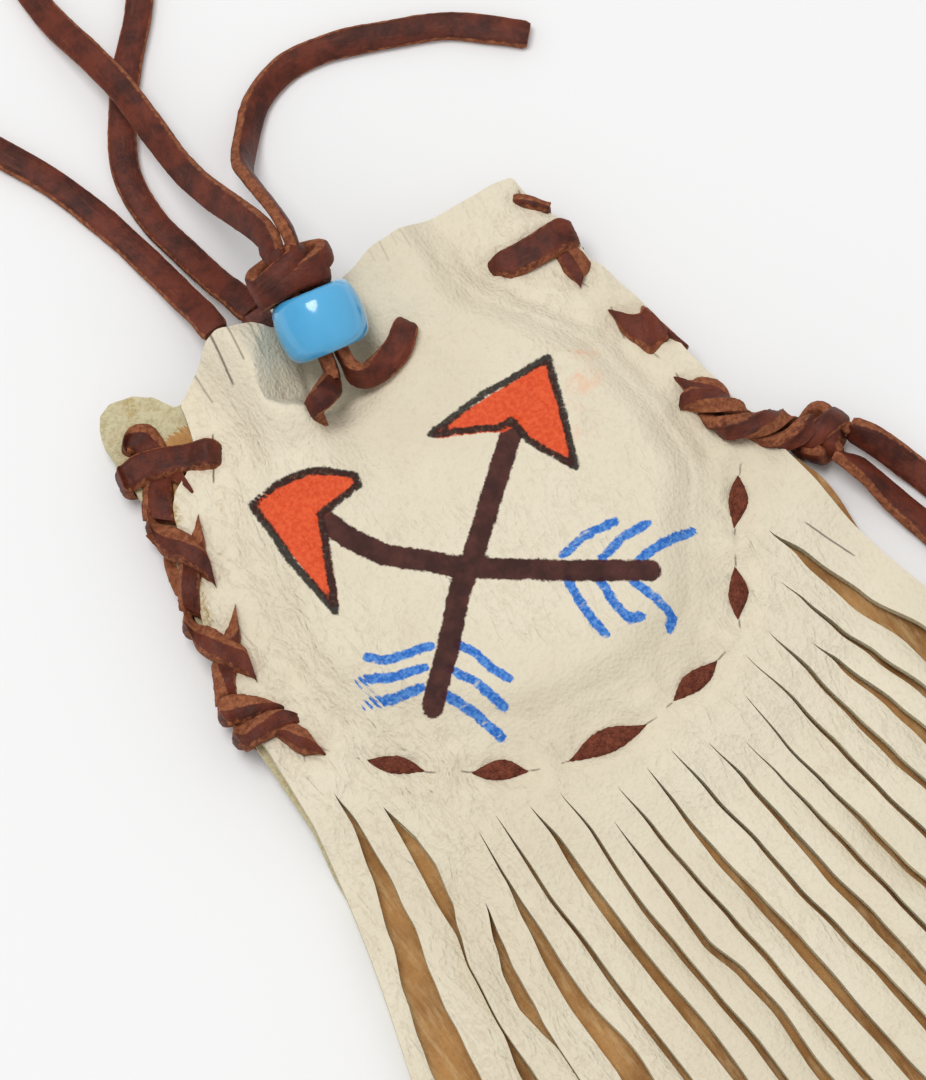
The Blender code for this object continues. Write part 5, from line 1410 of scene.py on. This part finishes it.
# free cords, the flat lace itself; the same routes as the solids
tailRoutes = {"rightTail": ((1.2, 66.0, 10.0), (2.2, 69.8, 5.5), (4.8, 73.4, 2.2), (8.5, 77.0, 1.2),
                            (13.3, 78.7, 0.8), (18.6, 78.0, 0.8), (24.7, 75.6, 0.8), (29.8, 73.2, 0.8),
                            (34.1, 69.6, 0.8), (36.4, 67.4, 0.8)),
              "leftTail": ((-3.2, 68.0, 10.0), (-3.2, 73.5, 6.2), (-3.0, 79.0, 4.6), (-3.0, 85.0, 4.2),
                           (-3.6, 90.5, 3.6), (-4.2, 96.0, 1.9), (-4.3, 100.5, 0.9), (-4.0, 104.5, 0.8)),
              "upperSideTail": ((40.8, 5.2, 1.2), (42.4, 0.0, 0.8), (44.4, -6.0, 0.8), (46.4, -14.0, 0.8),
                                (48.4, -22.5, 0.8), (50.0, -31.0, 0.8)),
              "lowerSideTail": ((37.4, 3.4, 1.2), (38.8, -2.0, 0.8), (40.4, -8.0, 0.8),
                                (42.2, -16.0, 0.8), (44.0, -25.0, 0.8), (45.2, -34.0, 0.8))}
knotEnd = centre + beadWay * strands["knotEnd"] - beadAcross * strands["knotAside"]
sideWay = sideKnot["way"]
sideEnd = sideKnot["middle"] + sideWay * sideKnot["end"]
sideStep = sideKnot["across"] * sideKnot["apart"]
tails = (
    ("rightTail", "drawstring_tail_right", knotEnd + beadAcross * 1.2, beadWay, 8),
    ("leftTail", "drawstring_tail_left", knotEnd - beadAcross * 1.2, beadWay, 9),
    ("upperSideTail", "side_tail_upper", sideEnd + sideStep, sideWay, 10),
    ("lowerSideTail", "side_tail_lower", sideEnd - sideStep, sideWay, 11),
)
# how far the two long tails are turned at each of their places, in degrees
tailTurns = {
    "rightTail": (78, 74, 70, 62, 52, 40, 30, 24, 20, 14, 8, 4),
    "leftTail": (-60, -50, -40, -34, -30, -26, -22, -18, -14, -10),
}


def laceCord(name, node, points, faces, seed):
    stations = [(p, f, 1.0) for p, f in zip(points, faces)]
    piece, line, length = sweepLace(name, stations, step=0.55, seed=seed)
    for one in (node if isinstance(node, tuple) else (node,)):
        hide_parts(one)
    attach(piece, "pouch")
    return piece


for name, node, start, way, seed in tails:
    points = [start, start + way * 3.0] + [Vector(p) for p in tailRoutes[name]]
    faces = []
    for i, p in enumerate(points):
        turn = math.radians(70) * math.exp(-i / 2.0) * (1 if name == "upperSideTail" else -1)
        if name in tailTurns:
            turn = math.radians(tailTurns[name][i])
        before, after = points[max(i - 1, 0)], points[min(i + 1, len(points) - 1)]
        tangent = (after - before).normalized()
        faces.append(Matrix.Rotation(turn, 3, tangent) @ (up - tangent * tangent.z).normalized())
    laceCord(name, node, points, faces, seed)

neckRoutes = {"right": ((-5.6, 56.5, 4.3), (-6.0, 59.5, 3.6), (-6.4, 62.0, 2.4), (-7.0, 66.5, 1.2),
                        (-7.8, 72.2, 0.8), (-7.2, 78.0, 0.8), (-4.4, 83.2, 0.8), (-0.5, 88.2, 0.8),
                        (4.6, 93.7, 0.8), (9.0, 101.0, 0.8), (10.8, 109.0, 0.8)),
              "left": ((-22.2, 102.0, 0.8), (-20.0, 94.2, 0.8), (-16.7, 87.4, 0.8), (-14.0, 81.3, 0.8),
                       (-11.9, 74.0, 0.8), (-10.6, 66.8, 1.2), (-10.1, 62.0, 2.4), (-9.9, 59.5, 3.6),
                       (-9.9, 56.8, 4.3))}
# turns from one radius to the next: three lie on the surface, from outside in, and two on them, back out
coil = {"centre": (-12.5, 133.5), "start": math.radians(-15), "steps": 14, "low": 0.8, "high": 2.3,
        "rise": 1.5, "climb": 4, "leaveStep": math.radians(22), "leaveAt": 228, "foot": (-23.0, 112.0, 1.4),
        "lower": ((20.2, 17.1), (17.1, 14.0), (14.0, 14.0)), "upper": ((14.0, 15.5), (15.5, 18.6))}


def coilPlace(radius, angle, z):
    cx, cy = coil["centre"]
    return Vector((cx + radius * math.cos(angle), cy + radius * math.sin(angle), z))


def coilPoints():
    made = []
    angle = coil["start"]
    low, high, steps = coil["low"], coil["high"], coil["steps"]
    for n, (a, b) in enumerate(coil["lower"] + coil["upper"]):
        for i in range(steps):
            z = low if n < 3 else high
            if n == 3:
                z = low + coil["rise"] * smooth(i / coil["climb"])
            made.append(coilPlace(a + (b - a) * smooth(i / steps), angle, z))
            angle += math.tau / steps
    # round the outside once more, to where the cord comes back to the bag
    for i in range(1, 10):
        further = angle + coil["leaveStep"] * i
        if math.degrees(further - coil["start"]) % 360 > coil["leaveAt"]:
            break
        made.append(coilPlace(coil["upper"][-1][1], further, high))
    return made + [Vector(coil["foot"])]


neckLine = [Vector(p) for p in neckRoutes["right"]] + coilPoints() + [Vector(p) for p in neckRoutes["left"]]
laceCord("neckCord", ("neck_cord_right", "neck_cord_left", "neck_coil"), neckLine, [up] * len(neckLine), 12)
print("cords made")

# the CAD loop inside the back keeps its shape and gets the lace's finish
loop = bpy.data.objects["neck_loop"]
for slotIndex in range(len(loop.material_slots)):
    loop.material_slots[slotIndex].material = knotLeather()


# floor and light
stage = {"floor": 6.0, "floorHeight": -0.0002, "floorColour": (241, 241, 241), "sky": 0.61, "key": 5.1,
         "keySize": 0.5, "keyPlace": (-0.16, 0.20, 1.0), "keyTarget": (0, 0.02, 0)}


def makeFloor():
    bpy.ops.object.select_all(action="DESELECT")
    bpy.ops.mesh.primitive_plane_add(size=stage["floor"], location=(0, 0, stage["floorHeight"]))
    floor = bpy.context.object
    floor.name = "studioFloor"
    m = Nodes("paleFloor")
    m.finish(linear(*stage["floorColour"]), 0.9, None, Specular_IOR_Level=0.1)
    floor.data.materials.append(m.material)


def makeLight():
    world = bpy.data.worlds.new("softRoom")
    world.use_nodes = True
    world.node_tree.nodes["Background"].inputs[0].default_value = (1, 1, 1, 1)
    world.node_tree.nodes["Background"].inputs[1].default_value = stage["sky"]
    bpy.context.scene.world = world
    bpy.ops.object.light_add(type="AREA", location=stage["keyPlace"])
    key = bpy.context.object
    key.name = "softKey"
    key.data.shape = "DISK"
    key.data.size = stage["keySize"]
    key.data.energy = stage["key"]
    towards = Vector(stage["keyTarget"]) - Vector(stage["keyPlace"])
    key.rotation_euler = towards.to_track_quat("-Z", "Y").to_euler()


makeFloor()
makeLight()
bpy.context.scene.view_settings.view_transform = "Standard"
print("floor and light made")
